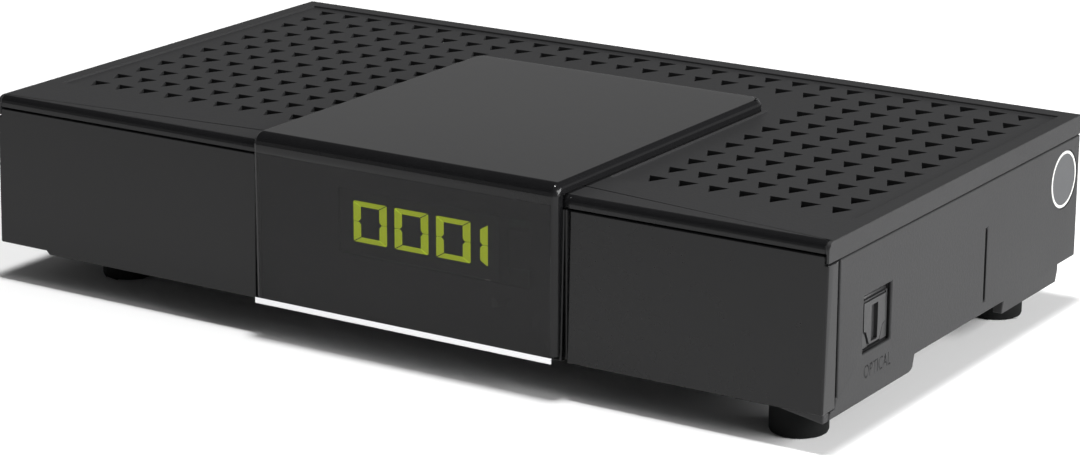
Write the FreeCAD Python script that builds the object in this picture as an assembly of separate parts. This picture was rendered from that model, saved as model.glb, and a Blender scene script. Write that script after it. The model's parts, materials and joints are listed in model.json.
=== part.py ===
import FreeCAD, Part
import math
import os

# A compact table-top satellite television receiver, in millimetres.
# X runs to the side with the optical socket, Y to the rear, Z up from the table.
# Pieces are laid out about the casing's centre, then moved by origin_shift() so
# that the origin lies under the middle of the whole outline.

# Casing
CASE_WIDTH = 168.0
CASE_DEPTH = 94.2
SKIRT_LIFT = 4.5
CASE_HEIGHT = 29.5
COVER_SKIRT_HEIGHT = 3.6
BELLY_RISE = 2.9
WALL = 2.0
FLOOR_PLATE = 2.0
COVER_PLATE = 2.0
SEAT_GAP = 0.15
JOINT_GAP = 0.3
COVER_EDGE_RADIUS = 1.4

# Front fascia
FASCIA_PLATE = 2.2
FASCIA_RAKE = 0.8
FASCIA_DROP = 1.2
FASCIA_RETURN = 3.8
RETURN_GROOVE = 0.6
GROOVE_FOOT_LIFT = 0.5
FASCIA_END_STEP = 0.7
FASCIA_END_LENGTH = 11.2
SHADOW_GROOVE_WIDTH = 1.0
SHADOW_GROOVE_DEPTH = 0.9

# Raised gloss band over the front and top
BAND_WIDTH = 61.2
BAND_CENTRE = 5.6
BAND_RISE = 2.2
BAND_PROUD = 2.0
BAND_REACH = 69.1
BAND_BACK_CORNER = 3.0
BAND_BACK_RECESS = 1.7
BAND_NOSE_RADIUS = 2.3
BAND_EDGE_CHAMFER = 0.8
BAND_PEG_RADIUS = 1.6
BAND_PEG_LENGTH = 3.4
BAND_PEG_INSET = 7.0
LENS_THICKNESS = 1.0
LENS_EDGE = 1.2
LENS_GAP = 0.1
STRIP_HEIGHT = 1.2
BAND_FOOT_RISE = 1.0
STRIP_DEPTH = 1.3

# Display
DIGIT_PITCH = 8.25
DIGIT_WIDTH = 6.5
DIGIT_HEIGHT = 7.1
DIGIT_COUNT = 4
DIGIT_CENTRE_X = 8.35
DIGIT_CENTRE_Z = 23.35
SEGMENT_WIDTH = 1.15
SEGMENT_GAP = 0.25
SEGMENT_DEPTH = 0.3
MODULE_WIDTH = 31.6
MODULE_HEIGHT = 11.0
MODULE_DEPTH = 3.2
DISPLAY_BOARD_WIDTH = 52.0
DISPLAY_BOARD_HEIGHT = 19.0
BOARD_THICKNESS = 1.6

# Vents in the cover
VENT_PITCH_X = 5.63
VENT_PITCH_Y = 6.3
VENT_BASE = 3.7
VENT_LENGTH = 3.5
VENT_SIDE_MARGIN = 7.5
VENT_REAR_MARGIN = 6.8
VENT_FRONT_MARGIN = 17.2
VENT_FULL_ROWS = 2
VENT_BAND_CLEARANCE = 5.3
FIELD_DEPTH = 0.4
FIELD_SIDE_RIM = 2.9
FIELD_REAR_RIM = 3.2
FIELD_FRONT_LEDGE = 14.3

# Vent slots in the tray's floor
FLOOR_VENT_COLUMNS = 3
FLOOR_VENT_ROWS = 7
FLOOR_VENT_PITCH_X = 34.0
FLOOR_VENT_PITCH_Y = 6.0
FLOOR_VENT_LENGTH = 28.0
FLOOR_VENT_WIDTH = 2.2

# Side skirts of the tray, measured back from the casing's front
SKIRT_FRONT_LENGTH = 31.4
SKIRT_REAR_START = 64.8
SKIRT_REAR_LENGTH = 22.4
SKIRT_REAR_LIFT = 0.6
SKIRT_REAR_END_RISE = 3.8
SKIRT_CORNER_RADIUS = 1.2
SKIRT_LEAN = 0.4
CORNER_LIP_LENGTH = 9.0
CORNER_LIP_SETBACK = 0.6
SIDE_SLIT_WIDTH = 0.8
SIDE_SLIT_HEIGHT = 15.0
SIDE_SLIT_SETBACK = 56.9

# Feet
FOOT_RADIUS = 4.8
FOOT_FLARE_START = 5.4
FOOT_FLARE_RADIUS = 5.2
FOOT_STEM_RADIUS = 1.5
FOOT_STEM_LENGTH = 2.6
RIGHT_FOOT_INSET = 8.4
LEFT_FOOT_INSET = 17.2
RIGHT_FRONT_FOOT_SETBACK = 7.8
LEFT_FRONT_FOOT_SETBACK = 14.6
REAR_FOOT_SETBACK = 14.6

# Cover screws and their pillars
PILLAR_RADIUS = 3.0
PILLAR_MEETING_HEIGHT = 21.0
SCREW_RADIUS = 1.45
SCREW_CLEARANCE = 0.25
SCREW_HEAD_RADIUS = 2.5
SCREW_HEAD_HEIGHT = 1.8
SCREW_LENGTH = 18.0
PILOT_CLEARANCE = 0.05
FRONT_PILLAR_INSET = 23.0
REAR_PILLAR_INSET = 5.8
FRONT_PILLAR_SETBACK = 6.8
REAR_PILLAR_SETBACK = 7.1

# Main board and its standoffs
BOARD_SIDE_INSET = 9.5
BOARD_FRONT_SETBACK = 17.0
BOARD_REAR_SETBACK = 3.4
STANDOFF_HEIGHT = 5.0
STANDOFF_RADIUS = 3.0
STANDOFF_INSET = 3.3
STANDOFF_FRONT_SETBACK = 14.0
STANDOFF_REAR_SETBACK = 15.7
BOARD_SCREW_RADIUS = 1.4
BOARD_SCREW_HEAD_RADIUS = 2.6
BOARD_SCREW_HEAD_HEIGHT = 1.6
BOARD_SCREW_LENGTH = 5.6

# Optical socket with its spring-loaded shutter, in the right-hand wall
OPTICAL_SETBACK = 17.4
OPTICAL_OPENING = 9.5
OPTICAL_SILL = 8.2
OPTICAL_RECESS = 0.8
SHUTTER_INSET = 0.5
SHUTTER_AXIS_INSET = 0.65
OPTICAL_FLANGE = 12.6
OPTICAL_DEPTH = 14.2
OPTICAL_CAVITY_DEPTH = 10.7
OPTICAL_HEADROOM = 0.5
OPTICAL_CHANNEL_GAP = 0.2
SHUTTER_THICKNESS = 0.9
SHUTTER_TOP_GAP = 0.65
SHUTTER_SIDE_GAP = 0.35
SHUTTER_BOSS_RISE = 0.15
SHUTTER_BOSS_WIDTH = 7.3
SHUTTER_BOSS_WAIST = 5.6
SHUTTER_BOSS_TIP = 3.4
SHUTTER_SLOT_WIDTH = 2.2
SHUTTER_SLOT_HEIGHT = 6.0
SHUTTER_SLOT_DEPTH = 0.5
SHUTTER_PIN_RADIUS = 0.4
SHUTTER_PIN_LENGTH = 0.9
SHUTTER_PIN_CLEARANCE = 0.05
EMITTER_RADIUS = 1.3
EMITTER_LENGTH = 2.4

# Rear panel and sockets, insets measured from the nearer side of the casing
PANEL_THICKNESS = 2.0
PANEL_SIDE_GAP = 0.3
PANEL_RAIL = 1.2
SOCKET_CLEARANCE = 0.25
TUNER_INSET = 31.0
TUNER_WIDTH = 30.0
TUNER_DEPTH = 42.0
TUNER_HEIGHT = 13.4
AERIAL_SPACING = 15.0
AERIAL_RADIUS = 4.75
AERIAL_REACH = 10.4
AERIAL_BORE_RADIUS = 2.2
AERIAL_BORE_DEPTH = 9.0
AERIAL_COLLAR_RADIUS = 6.2
AERIAL_COLLAR_LENGTH = 0.8
HDMI_INSET = 59.0
HDMI_WIDTH = 15.0
HDMI_HEIGHT = 6.0
HDMI_DEPTH = 11.5
HDMI_SHELL = 0.4
HDMI_TONGUE = 1.0
HDMI_SLANT = 1.3
SCART_INSET = 75.0
SCART_WIDTH = 50.0
SCART_HEIGHT = 13.6
SCART_DEPTH = 17.0
SCART_SLOT = 1.7
SCART_RIM = 1.3
SCART_SLANT = 3.2
SCART_SLOT_DEPTH = 11.0
SCART_CONTACTS = 10
SCART_CONTACT_WIDTH = 0.85
SCART_CONTACT_HEIGHT = 1.7
USB_INSET = 41.0
USB_WIDTH = 13.3
USB_HEIGHT = 6.3
USB_DEPTH = 14.0
USB_SHELL = 0.4
USB_TONGUE = 1.9
DC_INSET = 29.0
DC_WIDTH = 9.0
DC_HEIGHT = 11.0
DC_DEPTH = 14.0
DC_BORE_RADIUS = 3.15
DC_BORE_DEPTH = 9.5
DC_PIN_RADIUS = 1.0
SWITCH_INSET = 16.0
SWITCH_WIDTH = 13.2
SWITCH_HEIGHT = 8.8
SWITCH_DEPTH = 11.0
SWITCH_FLANGE = 1.0
SWITCH_FLANGE_THICKNESS = 1.2
SWITCH_WALL = 1.0
ROCKER_ANGLE = 8.0
ROCKER_THICKNESS = 3.4
ROCKER_GAP = 0.3
ROCKER_PIN_RADIUS = 0.8
ROCKER_PIN_LENGTH = 0.7
ROCKER_PIN_CLEARANCE = 0.05

# Parts on the main board
CHIP_SIZE = 23.0
CHIP_HEIGHT = 2.0
CHIP_X = -4.0
CHIP_Y = 4.0
SINK_SIZE = 28.0
SINK_BASE = 1.6
SINK_HEIGHT = 8.0
SINK_FINS = 8
SINK_FIN_THICKNESS = 1.0
MEMORY_WIDTH = 9.0
MEMORY_LENGTH = 13.0
MEMORY_HEIGHT = 1.1
MEMORY_COUNT = 2
CAPACITOR_RADIUS = 4.0
CAPACITOR_HEIGHT = 11.0
CAPACITOR_COUNT = 5
CAPACITOR_PITCH = 9.4
INDUCTOR_SIZE = 8.0
INDUCTOR_HEIGHT = 4.2
INDUCTOR_COUNT = 3
INDUCTOR_PITCH = 11.0
RIBBON_WIDTH = 16.0
RIBBON_THICKNESS = 0.8
HEADER_DEPTH = 5.0
HEADER_HEIGHT = 5.0
RECEIVER_WIDTH = 5.0
RECEIVER_HEIGHT = 6.4
RECEIVER_DEPTH = 1.8
RECEIVER_DOME_RADIUS = 1.6
RECEIVER_DOME_RISE = 0.8
RECEIVER_SPACING = 1.0

# Levels and planes that follow from the sizes above
HALF_WIDTH = CASE_WIDTH / 2
FRONT_Y = -CASE_DEPTH / 2
REAR_Y = CASE_DEPTH / 2
COVER_TOP = SKIRT_LIFT + CASE_HEIGHT
COVER_UNDER = COVER_TOP - COVER_PLATE
PARTING = COVER_TOP - COVER_SKIRT_HEIGHT
BELLY = SKIRT_LIFT + BELLY_RISE
TRAY_FLOOR = BELLY + FLOOR_PLATE
FASCIA_BOTTOM = BELLY - FASCIA_DROP
FASCIA_TOP = COVER_UNDER - SEAT_GAP
FASCIA_BACK = FRONT_Y + FASCIA_PLATE
BAND_TOP = COVER_TOP + BAND_RISE
BAND_UNDER = COVER_TOP + SEAT_GAP
BAND_LEFT = BAND_CENTRE - BAND_WIDTH / 2
BAND_RIGHT = BAND_CENTRE + BAND_WIDTH / 2
BAND_FRONT = FRONT_Y - BAND_PROUD
BAND_FOOT = FASCIA_BOTTOM + BAND_FOOT_RISE
BAND_BACK = BAND_FRONT + BAND_REACH
BOARD_WIDTH = CASE_WIDTH - 2 * BOARD_SIDE_INSET
BOARD_UNDER = TRAY_FLOOR + STANDOFF_HEIGHT
BOARD_TOP = BOARD_UNDER + BOARD_THICKNESS
BOARD_FRONT = FRONT_Y + BOARD_FRONT_SETBACK
BOARD_REAR = REAR_Y - BOARD_REAR_SETBACK
PANEL_FRONT = REAR_Y - PANEL_THICKNESS
PANEL_TOP = PARTING - SEAT_GAP
TRAY_FRONT = FASCIA_BACK + JOINT_GAP
OPTICAL_Y = FRONT_Y + OPTICAL_SETBACK
OPTICAL_Z = SKIRT_LIFT + OPTICAL_SILL + OPTICAL_OPENING / 2
OPTICAL_TOP = OPTICAL_Z + OPTICAL_OPENING / 2
OPTICAL_FACE = HALF_WIDTH - OPTICAL_RECESS
OPTICAL_BACK = OPTICAL_FACE - OPTICAL_DEPTH
SHUTTER_FACE = HALF_WIDTH - SHUTTER_INSET
SHUTTER_AXIS_X = OPTICAL_FACE - SHUTTER_AXIS_INSET
SHUTTER_AXIS_Z = OPTICAL_TOP - SHUTTER_TOP_GAP - SHUTTER_THICKNESS / 2
SHUTTER_FOOT = OPTICAL_TOP - OPTICAL_OPENING + SHUTTER_SIDE_GAP
SHUTTER_HALF_WIDTH = OPTICAL_OPENING / 2 - SHUTTER_SIDE_GAP
TUNER_CENTRE = TUNER_INSET - HALF_WIDTH
HDMI_CENTRE = HDMI_INSET - HALF_WIDTH
SCART_CENTRE = HALF_WIDTH - SCART_INSET
USB_CENTRE = HALF_WIDTH - USB_INSET
DC_CENTRE = HALF_WIDTH - DC_INSET
SWITCH_CENTRE = HALF_WIDTH - SWITCH_INSET
AERIAL_Z = BOARD_TOP + TUNER_HEIGHT / 2
SWITCH_Z = BOARD_TOP + JOINT_GAP + SWITCH_FLANGE + SWITCH_HEIGHT / 2
SWITCH_AXIS_Y = REAR_Y + SWITCH_FLANGE_THICKNESS - ROCKER_GAP
MODULE_FACE = BAND_FRONT + LENS_THICKNESS + SEGMENT_DEPTH + JOINT_GAP
DISPLAY_BOARD_FRONT = MODULE_FACE + MODULE_DEPTH
DISPLAY_BOARD_BACK = DISPLAY_BOARD_FRONT + BOARD_THICKNESS
RECEIVER_X = DIGIT_CENTRE_X + MODULE_WIDTH / 2 + RECEIVER_SPACING + RECEIVER_WIDTH / 2


def box(x_low, x_high, y_low, y_high, z_low, z_high):
    """Block between three pairs of planes."""
    corner = FreeCAD.Vector(x_low, y_low, z_low)
    return Part.makeBox(x_high - x_low, y_high - y_low, z_high - z_low, corner)


def rod(radius, start, direction, length):
    """Round bar from a start point along a direction."""
    return Part.makeCylinder(radius, length, FreeCAD.Vector(*start), FreeCAD.Vector(*direction))


def profile_x(points, x_low, x_high):
    """Closed outline of (y, z) points, drawn out along X."""
    corners = [FreeCAD.Vector(x_low, y, z) for y, z in points]
    face = Part.Face(Part.makePolygon(corners + corners[:1]))
    return face.extrude(FreeCAD.Vector(x_high - x_low, 0, 0))


def profile_y(points, y_low, y_high):
    """Closed outline of (x, z) points, drawn out along Y."""
    corners = [FreeCAD.Vector(x, y_low, z) for x, z in points]
    face = Part.Face(Part.makePolygon(corners + corners[:1]))
    return face.extrude(FreeCAD.Vector(0, y_high - y_low, 0))


def profile_z(points, z_low, z_high):
    """Closed outline of (x, y) points, drawn out along Z."""
    corners = [FreeCAD.Vector(x, y, z_low) for x, y in points]
    face = Part.Face(Part.makePolygon(corners + corners[:1]))
    return face.extrude(FreeCAD.Vector(0, 0, z_high - z_low))


def joined(shapes):
    """One solid from shapes that touch or overlap."""
    return shapes[0].multiFuse(shapes[1:]).removeSplitter()


def grouped(shapes):
    """Separate solids that share a node."""
    return Part.makeCompound(shapes)


def edges_where(shape, test):
    """Edges whose centre of mass passes a test."""
    return [edge for edge in shape.Edges if test(edge)]


def runs_along(edge, axis):
    """Whether an edge is straight and parallel to an axis, 0 for X to 2 for Z."""
    if edge.Curve.TypeId != "Part::GeomLine":
        return False
    low, high = edge.BoundBox, edge.Length
    spans = (low.XLength, low.YLength, low.ZLength)
    return abs(spans[axis] - high) < 1e-4


def near(value, target):
    """Whether two lengths agree to a hundredth of a millimetre."""
    return abs(value - target) < 0.01


def front_face_y(z):
    """Plane of the raked fascia at a height: its foot stands furthest forward."""
    middle = (FASCIA_BOTTOM + FASCIA_TOP) / 2
    return FRONT_Y + FASCIA_RAKE * (z - middle) / (FASCIA_TOP - FASCIA_BOTTOM)


def pillar_places():
    """Centres of the four cover screws."""
    front = FRONT_Y + FRONT_PILLAR_SETBACK
    rear = REAR_Y - REAR_PILLAR_SETBACK
    rows = ((HALF_WIDTH - FRONT_PILLAR_INSET, front), (HALF_WIDTH - REAR_PILLAR_INSET, rear))
    return [(side * x, y) for x, y in rows for side in (-1, 1)]


def standoff_places():
    """Centres of the four board screws."""
    x = BOARD_WIDTH / 2 - STANDOFF_INSET
    rows = (BOARD_FRONT + STANDOFF_FRONT_SETBACK, BOARD_REAR - STANDOFF_REAR_SETBACK)
    return [(side * x, y) for y in rows for side in (-1, 1)]


def foot_places():
    """Name and centre of each foot."""
    rear = REAR_Y - REAR_FOOT_SETBACK
    right = HALF_WIDTH - RIGHT_FOOT_INSET
    left = LEFT_FOOT_INSET - HALF_WIDTH
    return [
        ("front_right_foot", right, FRONT_Y + RIGHT_FRONT_FOOT_SETBACK),
        ("front_left_foot", left, FRONT_Y + LEFT_FRONT_FOOT_SETBACK),
        ("rear_right_foot", right, rear),
        ("rear_left_foot", left, rear),
    ]


def floor_vent_places():
    """Centres of the slots in the tray's floor, under the main board."""
    places = []
    for column in range(FLOOR_VENT_COLUMNS):
        x = (column - (FLOOR_VENT_COLUMNS - 1) / 2) * FLOOR_VENT_PITCH_X
        for row in range(FLOOR_VENT_ROWS):
            places.append((x, (row - (FLOOR_VENT_ROWS - 1) / 2) * FLOOR_VENT_PITCH_Y))
    return places


def vent_centres():
    """Lattice of vent centres, left out under and beside the band except in the rear rows."""
    half_span = HALF_WIDTH - VENT_SIDE_MARGIN
    columns = int(2 * half_span / VENT_PITCH_X + 1e-6) + 1
    depth = CASE_DEPTH - VENT_REAR_MARGIN - VENT_FRONT_MARGIN
    rows = int(depth / VENT_PITCH_Y + 1e-6) + 1
    centres = []
    for row in range(rows):
        y = REAR_Y - VENT_REAR_MARGIN - row * VENT_PITCH_Y
        for column in range(columns):
            x = (column - (columns - 1) / 2) * VENT_PITCH_X
            beside_band = BAND_LEFT - VENT_BAND_CLEARANCE < x < BAND_RIGHT + VENT_BAND_CLEARANCE
            if row < VENT_FULL_ROWS or not beside_band:
                centres.append((x, y))
    return centres


def vent_cutter():
    """Triangular prisms, flat side to the rear."""
    half_base = VENT_BASE / 2
    half_length = VENT_LENGTH / 2
    cutters = []
    for x, y in vent_centres():
        corners = [(x - half_base, y + half_length), (x, y - half_length), (x + half_base, y + half_length)]
        cutters.append(profile_z(corners, COVER_UNDER - WALL, COVER_TOP + WALL))
    return grouped(cutters)


def corner_mitre(side, gap):
    """Wedge of the front corner above the parting that belongs to the cover's skirt."""
    outer = side * (HALF_WIDTH + WALL)
    tip = side * (HALF_WIDTH - gap)
    inner = side * (HALF_WIDTH - FASCIA_PLATE - gap)
    corners = [(tip, FRONT_Y - FASCIA_RAKE), (outer, FRONT_Y - FASCIA_RAKE), (outer, FASCIA_BACK + gap),
               (inner, FASCIA_BACK + gap), (tip, FRONT_Y)]
    return profile_z(corners, PARTING, COVER_UNDER)


def band_peg_places():
    """Centres of the pegs that hold the band to the cover."""
    back = BAND_BACK - BAND_PEG_INSET
    front = FASCIA_BACK + BAND_PEG_INSET
    return [(x, y) for y in (front, back) for x in (BAND_LEFT + BAND_PEG_INSET, BAND_RIGHT - BAND_PEG_INSET)]


def make_top_cover():
    """Top plate with a rounded front edge, sunken vent field, side skirts and screw pillars."""
    lip_y = front_face_y(FASCIA_TOP)
    plate = box(-HALF_WIDTH, HALF_WIDTH, lip_y, REAR_Y, COVER_UNDER, COVER_TOP)
    front_edge = edges_where(plate, lambda edge: runs_along(edge, 0) and near(edge.CenterOfMass.y, lip_y)
                             and near(edge.CenterOfMass.z, COVER_TOP))
    plate = plate.makeFillet(COVER_EDGE_RADIUS, front_edge)
    skirts = []
    for side in (-1, 1):
        outer, inner = side * HALF_WIDTH, side * (HALF_WIDTH - WALL)
        low, high = min(outer, inner), max(outer, inner)
        skirts.append(box(low, high, FASCIA_BACK, REAR_Y, PARTING + SEAT_GAP, COVER_UNDER))
        wedge = corner_mitre(side, 0).common(box(low, high, lip_y, FASCIA_BACK, PARTING + SEAT_GAP, COVER_UNDER))
        skirts.append(wedge)
        rib_outer = side * (HALF_WIDTH - WALL - JOINT_GAP)
        rib_inner = side * (HALF_WIDTH - 2 * WALL)
        low, high = min(rib_outer, rib_inner), max(rib_outer, rib_inner)
        rib_front = OPTICAL_Y + OPTICAL_FLANGE / 2 + JOINT_GAP
        rib_back = REAR_Y - 2 * PILLAR_RADIUS - REAR_PILLAR_SETBACK
        skirts.append(box(low, high, rib_front, rib_back, PARTING - WALL, COVER_UNDER))
    skirts.append(box(-HALF_WIDTH, HALF_WIDTH, PANEL_FRONT, REAR_Y, PARTING + SEAT_GAP, COVER_UNDER))
    pillars = [rod(PILLAR_RADIUS, (x, y, PILLAR_MEETING_HEIGHT + SEAT_GAP), (0, 0, 1),
                   COVER_UNDER - PILLAR_MEETING_HEIGHT - SEAT_GAP) for x, y in pillar_places()]
    body = joined([plate] + skirts + pillars)
    field = box(-HALF_WIDTH + FIELD_SIDE_RIM, HALF_WIDTH - FIELD_SIDE_RIM, FRONT_Y + FIELD_FRONT_LEDGE,
                REAR_Y - FIELD_REAR_RIM, COVER_TOP - FIELD_DEPTH, COVER_TOP + WALL)
    under_band = box(BAND_LEFT, BAND_RIGHT, FRONT_Y, BAND_BACK, COVER_UNDER, COVER_TOP + WALL)
    body = body.cut(field.cut(under_band))
    body = body.cut(vent_cutter())
    pilots = [rod(SCREW_RADIUS + PILOT_CLEARANCE, (x, y, PILLAR_MEETING_HEIGHT), (0, 0, 1),
                  COVER_UNDER - PILLAR_MEETING_HEIGHT) for x, y in pillar_places()]
    peg_holes = [rod(BAND_PEG_RADIUS + SEAT_GAP, (x, y, COVER_UNDER), (0, 0, 1), COVER_PLATE)
                 for x, y in band_peg_places()]
    return body.cut(grouped(pilots + peg_holes))


def make_front_fascia():
    """Raked front plate with a return round each corner and an opening behind the band."""
    front = [(front_face_y(FASCIA_BOTTOM), FASCIA_BOTTOM), (front_face_y(FASCIA_TOP), FASCIA_TOP),
             (FASCIA_BACK, FASCIA_TOP), (FASCIA_BACK, FASCIA_BOTTOM)]
    plate = profile_x(front, -HALF_WIDTH, HALF_WIDTH)
    returns = []
    for side in (-1, 1):
        outer, inner = side * HALF_WIDTH, side * (HALF_WIDTH - WALL)
        foot = FASCIA_BOTTOM if side > 0 else FASCIA_BOTTOM + FASCIA_END_STEP
        returns.append(box(min(outer, inner), max(outer, inner), FASCIA_BACK, FRONT_Y + FASCIA_RETURN, foot,
                           PARTING))
    body = joined([plate] + returns)
    cuts = [corner_mitre(-1, SEAT_GAP), corner_mitre(1, SEAT_GAP)]
    top_trim = box(-HALF_WIDTH - WALL, HALF_WIDTH + WALL, FRONT_Y - WALL, FASCIA_BACK, FASCIA_TOP, COVER_TOP)
    cuts.append(top_trim)
    inner = FASCIA_END_LENGTH - HALF_WIDTH
    outer = -HALF_WIDTH - WALL
    stepped = FASCIA_BOTTOM + FASCIA_END_STEP
    step = [(inner, FASCIA_BOTTOM), (inner - FASCIA_END_STEP, stepped), (outer, stepped),
            (outer, FASCIA_BOTTOM - WALL), (inner, FASCIA_BOTTOM - WALL)]
    cuts.append(profile_y(step, FRONT_Y - WALL, FASCIA_BACK + WALL))
    cuts.append(box(BAND_LEFT + 2 * WALL, BAND_RIGHT - 2 * WALL, FRONT_Y - WALL, FASCIA_BACK + WALL,
                    TRAY_FLOOR + WALL, PARTING))
    for edge_x, side in ((BAND_LEFT, -1), (BAND_RIGHT, 1)):
        outer = edge_x + side * SHADOW_GROOVE_WIDTH
        cuts.append(box(min(edge_x, outer), max(edge_x, outer), FRONT_Y - WALL,
                        FRONT_Y + SHADOW_GROOVE_DEPTH, FASCIA_BOTTOM, FASCIA_TOP))
    body = body.cut(grouped(cuts))
    return body.Solids[0] if len(body.Solids) == 1 else body


def side_outline(side):
    """Outline of a side wall in (y, z): the left one has no skirt at its front."""
    start = FRONT_Y + FASCIA_RETURN + RETURN_GROOVE
    front_end = FRONT_Y + SKIRT_FRONT_LENGTH
    rear_start = FRONT_Y + SKIRT_REAR_START
    rear_stop = rear_start + SKIRT_REAR_LENGTH
    rear_low = SKIRT_LIFT + SKIRT_REAR_LIFT
    rear_end = SKIRT_LIFT + SKIRT_REAR_END_RISE
    groove_foot = BELLY + GROOVE_FOOT_LIFT
    corner = SKIRT_CORNER_RADIUS
    bend = corner * (1 - math.sqrt(0.5))
    if side > 0:
        behind_return = FRONT_Y + FASCIA_RETURN + SEAT_GAP
        under_return = FASCIA_BOTTOM - SEAT_GAP
        front = [(start, groove_foot), (behind_return, groove_foot), (behind_return, under_return),
                 (TRAY_FRONT, under_return), (TRAY_FRONT, SKIRT_LIFT), (front_end - corner, SKIRT_LIFT),
                 (front_end - bend, SKIRT_LIFT + bend), (front_end, SKIRT_LIFT + corner), (front_end, BELLY)]
    else:
        front = [(start, BELLY)]
    return [(start, PARTING)] + front + [(rear_start, BELLY), (rear_start, rear_low), (rear_stop, rear_low),
                                         (rear_stop, rear_end), (REAR_Y, rear_end), (REAR_Y, PARTING)]


def corner_lip():
    """Lip of the right-hand skirt that wraps under the fascia's end, running out along the front."""
    top = FASCIA_BOTTOM - SEAT_GAP
    outer = HALF_WIDTH - SKIRT_LEAN
    triangle = [(outer - CORNER_LIP_LENGTH, top), (outer, top), (outer, SKIRT_LIFT)]
    return profile_y(triangle, FRONT_Y + CORNER_LIP_SETBACK, TRAY_FRONT)


def make_base_tray():
    """Floor, side walls, skirts, foot pedestals, screw pillars and standoffs in one moulding."""
    parts = [box(-HALF_WIDTH + WALL, HALF_WIDTH - WALL, TRAY_FRONT, REAR_Y, BELLY, TRAY_FLOOR)]
    for side in (-1, 1):
        outer, inner = side * HALF_WIDTH, side * (HALF_WIDTH - WALL)
        wall = profile_x(side_outline(side), min(outer, inner), max(outer, inner))
        foot = outer - side * SKIRT_LEAN
        clear = outer + side * WALL
        lean = [(outer, BELLY), (foot, SKIRT_LIFT), (foot, SKIRT_LIFT - WALL), (clear, SKIRT_LIFT - WALL),
                (clear, BELLY)]
        parts.append(wall.cut(profile_y(lean, FRONT_Y, REAR_Y)))
        backing = side * (HALF_WIDTH - 2 * WALL)
        lap = side * (HALF_WIDTH - WALL - JOINT_GAP)
        backing_end = OPTICAL_Y - OPTICAL_FLANGE / 2 - JOINT_GAP
        groove_end = FRONT_Y + FASCIA_RETURN + RETURN_GROOVE
        parts.append(box(min(backing, lap), max(backing, lap), TRAY_FRONT, backing_end, BELLY, PARTING - WALL))
        parts.append(box(min(backing, inner), max(backing, inner), groove_end, backing_end, BELLY, PARTING - WALL))
        rail_y = PANEL_FRONT - JOINT_GAP
        parts.append(box(min(backing, inner), max(backing, inner), rail_y - PANEL_RAIL, rail_y, TRAY_FLOOR,
                         PARTING - WALL))
    parts.append(box(-HALF_WIDTH + 2 * WALL, HALF_WIDTH - 2 * WALL, TRAY_FRONT, TRAY_FRONT + WALL,
                     TRAY_FLOOR, TRAY_FLOOR + WALL))
    parts.append(corner_lip())
    for x, y in pillar_places():
        parts.append(rod(PILLAR_RADIUS, (x, y, BELLY), (0, 0, 1), PILLAR_MEETING_HEIGHT - BELLY))
    for x, y in standoff_places():
        parts.append(rod(STANDOFF_RADIUS, (x, y, TRAY_FLOOR - SEAT_GAP), (0, 0, 1), STANDOFF_HEIGHT + SEAT_GAP))
    body = joined(parts)
    cuts = []
    for x, y in pillar_places():
        shaft = SCREW_RADIUS + SCREW_CLEARANCE
        cuts.append(rod(shaft, (x, y, BELLY), (0, 0, 1), PILLAR_MEETING_HEIGHT - BELLY))
        counterbore = SCREW_HEAD_HEIGHT + FLOOR_PLATE
        cuts.append(rod(SCREW_HEAD_RADIUS + SCREW_CLEARANCE, (x, y, BELLY), (0, 0, 1), counterbore))
    for x, y in standoff_places():
        pilot = BOARD_SCREW_RADIUS + PILOT_CLEARANCE
        cuts.append(rod(pilot, (x, y, TRAY_FLOOR), (0, 0, 1), STANDOFF_HEIGHT))
    for _, x, y in foot_places():
        cuts.append(rod(FOOT_STEM_RADIUS + PILOT_CLEARANCE, (x, y, BELLY), (0, 0, 1), FLOOR_PLATE))
    for x, y in floor_vent_places():
        cuts.append(box(x - FLOOR_VENT_LENGTH / 2, x + FLOOR_VENT_LENGTH / 2, y - FLOOR_VENT_WIDTH / 2,
                        y + FLOOR_VENT_WIDTH / 2, BELLY, TRAY_FLOOR))
    half = OPTICAL_OPENING / 2
    cuts.append(box(HALF_WIDTH - WALL, HALF_WIDTH, OPTICAL_Y - half, OPTICAL_Y + half,
                    OPTICAL_TOP - OPTICAL_OPENING, OPTICAL_TOP))
    flange = OPTICAL_FLANGE / 2 + OPTICAL_CHANNEL_GAP
    cuts.append(box(HALF_WIDTH - WALL, OPTICAL_FACE, OPTICAL_Y - flange, OPTICAL_Y + flange, TRAY_FLOOR, PARTING))
    slit_y = FRONT_Y + SIDE_SLIT_SETBACK
    cuts.append(box(HALF_WIDTH - WALL, HALF_WIDTH, slit_y - SIDE_SLIT_WIDTH / 2, slit_y + SIDE_SLIT_WIDTH / 2,
                    TRAY_FLOOR, BELLY + SIDE_SLIT_HEIGHT))
    return body.cut(grouped(cuts))


def band_profile(front, top, back, bottom, under, nose):
    """L-shaped side view of the band: front plate, rounded nose and top plate."""
    bend = nose * (1 - math.sqrt(0.5))
    points = [FreeCAD.Vector(0, front, bottom), FreeCAD.Vector(0, front, top - nose),
              FreeCAD.Vector(0, front + bend, top - bend), FreeCAD.Vector(0, front + nose, top),
              FreeCAD.Vector(0, back, top), FreeCAD.Vector(0, back, under)]
    inner_top = FreeCAD.Vector(0, front_face_y(FASCIA_TOP) - SEAT_GAP, under)
    inner_foot = FreeCAD.Vector(0, front_face_y(bottom) - SEAT_GAP, bottom)
    edges = [Part.makeLine(points[0], points[1]), Part.Arc(points[1], points[2], points[3]).toShape(),
             Part.makeLine(points[3], points[4]), Part.makeLine(points[4], points[5]),
             Part.makeLine(points[5], inner_top), Part.makeLine(inner_top, inner_foot),
             Part.makeLine(inner_foot, points[0])]
    return Part.Face(Part.Wire(edges))


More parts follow.
